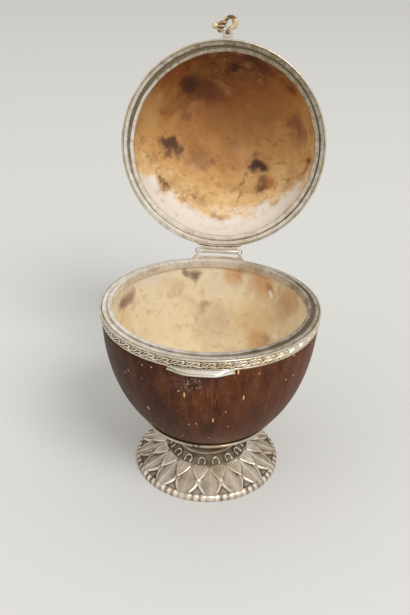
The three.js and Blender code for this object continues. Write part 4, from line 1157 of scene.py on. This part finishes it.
berry_place, berry_radius = (-6.5, 3.2), 1.75
hasp_barrel_half = 1.05


def hasp_strap():
    """A crescent that bends over at the top, thickest along its middle."""
    line = [Vector((x, y, 0)) for x, y in smooth_curve([point[:2] for point in strap_points], strap_steps)]
    halves = np.interp(np.arange(len(line)) / strap_steps, range(len(strap_points)),
                       [half for _, _, half in strap_points])
    rear = Vector((0, 0, strap_depth / 2))
    sections = []
    for i, (here, half) in enumerate(zip(line, halves)):
        ahead = (line[min(i + 1, len(line) - 1)] - line[max(i - 1, 0)]).normalized()
        side = Vector((-ahead.y, ahead.x, 0))
        sections.append([tuple(here + side * half * math.cos(t) + rear * math.sin(t))
                         for t in np.arange(20) * math.tau / 20])
    strap = swept("strap", sections, hasp_gold)
    strap.data.transform(Matrix.Scale(1 / MM, 4))
    return strap


def hasp_bell():
    """A bell flower of eight petals, hollow at its mouth, with a berry at its root."""
    outer = smooth_curve(bell_curve, 5)
    inner = [(r - bell_wall, a - 0.15) for r, a in outer[:len(outer) // 2:-1]]
    outline = [(0.001, 0.5)] + outer + inner + [(0.001, inner[-1][1] - 0.3)]
    columns = 16 * bell_flutes
    turns = np.arange(columns) * math.tau / columns
    wave = np.cos(bell_flutes * turns)
    slant = np.where(np.cos(turns) > 0, *bell_slant)
    rings = []
    for r, a in outline:
        share = r / bell_curve[-1][0]
        reach = r * (1 + 0.14 * (0.3 + share) * wave)
        along = a + 0.3 * wave * share ** 3 + slant * share ** 2 * reach * np.cos(turns)
        rings.append(np.stack([along, reach * np.cos(turns), bell_flatness * reach * np.sin(turns)], -1))
    bell = swept("bell", rings, hasp_gold)
    tilt = Matrix.Translation((*berry_place, 0)) @ Matrix.Rotation(bell_tilt, 4, "Z")
    bell.data.transform(tilt @ Matrix.Scale(1 / MM, 4))
    berry = bmesh.new()
    bmesh.ops.create_uvsphere(berry, u_segments=48, v_segments=32, radius=1)
    for v in berry.verts:
        x, y, z = v.co
        lumps = 0.5 + 0.5 * math.cos(6 * math.atan2(z, y)) * math.cos(7 * math.acos(max(-1, min(1, x))))
        v.co *= berry_radius * (0.88 + 0.12 * lumps)
    bmesh.ops.translate(berry, verts=berry.verts, vec=(*berry_place, 0))
    return [bell, as_object(berry)]


def hasp_piece():
    """Drawn as it stands when the lid is open: x to the right, y up from the rivet, z to the rear."""
    parts = [hasp_strap(), *hasp_bell(), rod_along_x(lug_radius, -hasp_barrel_half, hasp_barrel_half, 0, 0)]
    bore = rod_along_x(rivet_bore, -hasp_barrel_half - 0.25, hasp_barrel_half + 0.25, 0, 0, 24)
    points, faces = joined(parts, [bore], ("REMESH", {"mode": "VOXEL", "voxel_size": 0.12}),
                           ("SMOOTH", {"iterations": 2, "factor": 0.5}))
    # Grime between the petals, and soot where the strap bends over
    x, y = points[:, 0] - berry_place[0], points[:, 1] - berry_place[1]
    along = x * math.cos(bell_tilt) + y * math.sin(bell_tilt)
    across = y * math.cos(bell_tilt) - x * math.sin(bell_tilt)
    petal = np.cos(bell_flutes * np.arctan2(points[:, 2] / bell_flatness, across))
    on_bell = soft_step(along, 0.8, 1.6) * soft_step(points[:, 0], 1.2, 0.6) * (np.abs(across) < 3.6)
    grime = on_bell * (0.58 - 0.45 * petal)
    soot = 0.75 * soft_step(points[:, 1], 5.6, 7.6) * soft_step(points[:, 0], -1.5, 0)
    return make_piece("hasp_scroll_and_bell", points, faces, hasp_gold, np.clip(grime + soot, 0, 0.9))


# Worn down to warm gold, with brown in its flutes
hasp_gold = silvered_brass("silvered_brass_hasp_worn", "#e6cda4", "#5f4227", "#d2a067", cloud=2.2, dent=1.5,
                           dent_depth=0.08, patchy=0.6, shine=0.28)
hasp = hasp_piece()
upright = Matrix.Rotation(math.radians(180) - open_angle, 4, "X")  # in the plane of the open lid's rim
hasp.data.transform(Matrix.Translation(joint("hasp_hinge")["pos_m"]) @ upright)
fit(hasp, "hasp", "silvered_metal", "hasp")

# Studio
# A plain pale floor in an even light room, with one broad soft lamp from the front right and a weaker one
# from the left, far off, so that the floor is as bright behind the box as before it.
floor_reach = 3
lamp_aim = (0, 0, 0.1)


def studio_floor():
    mesh = bpy.data.meshes.new("floor")
    corners = [(-floor_reach, -floor_reach, 0), (floor_reach, -floor_reach, 0),
               (floor_reach, 2 * floor_reach, 0), (-floor_reach, 2 * floor_reach, 0)]
    mesh.from_pydata(corners, [], [(0, 1, 2, 3)])
    # Matt paper: an even light grey with a faint tooth, and no shine
    material, tree, where = new_material("paper_floor")
    tooth = add_node(tree, "TexNoise", {"Vector": where, "Scale": 1 / (3 * MM), "Detail": 2})
    colour = paint(tree, linear("#d5d4d1"), [("#dad9d6", tooth, 0, 1, 1)])
    shader = add_node(tree, "BsdfPrincipled", {"Base Color": colour, "Roughness": 0.9})
    add_node(tree, "OutputMaterial", {"Surface": shader})
    mesh.materials.append(material)
    add_object("floor", mesh)


def soft_lamp(name, place, size, power):
    """A square lamp that faces the box."""
    lamp = bpy.data.lights.new(name, "AREA")
    lamp.size, lamp.energy = size, power
    holder = add_object(name, lamp)
    holder.location = place
    holder.rotation_euler = (Vector(lamp_aim) - Vector(place)).to_track_quat("-Z", "Y").to_euler()


studio_floor()
soft_lamp("key", (1.3, -1.6, 2.4), 1.4, 50)
soft_lamp("fill", (-1.8, -1.1, 1.5), 1.6, 6)
world = bpy.data.worlds.new("room")
world.use_nodes = True
bpy.context.scene.world = world
room = world.node_tree.nodes["Background"].inputs
room["Color"].default_value = linear("#f2f1ee")
room["Strength"].default_value = 0.8

# Camera
# A camera with a slightly long lens stands in front of the box and a little to the right. It looks down on
# it and is tipped slightly, as in the photograph.
camera = bpy.data.cameras.new("camera")
camera.lens, camera.sensor_width = 47.4, 36
camera.clip_start, camera.clip_end = 0.01, 20
stand = Vector((23.7, axis_y - 352.4, 277.8)) * MM
aside, up, tip = math.radians(4.28), math.radians(90 - 27.86), math.radians(1.3)
eye = add_object("camera", camera)
eye.matrix_world = (Matrix.Translation(stand) @ Matrix.Rotation(aside, 4, "Z") @ Matrix.Rotation(up, 4, "X")
                    @ Matrix.Rotation(tip, 4, "Z"))
bpy.context.scene.camera = eye
bpy.context.scene.view_settings.view_transform = "Standard"
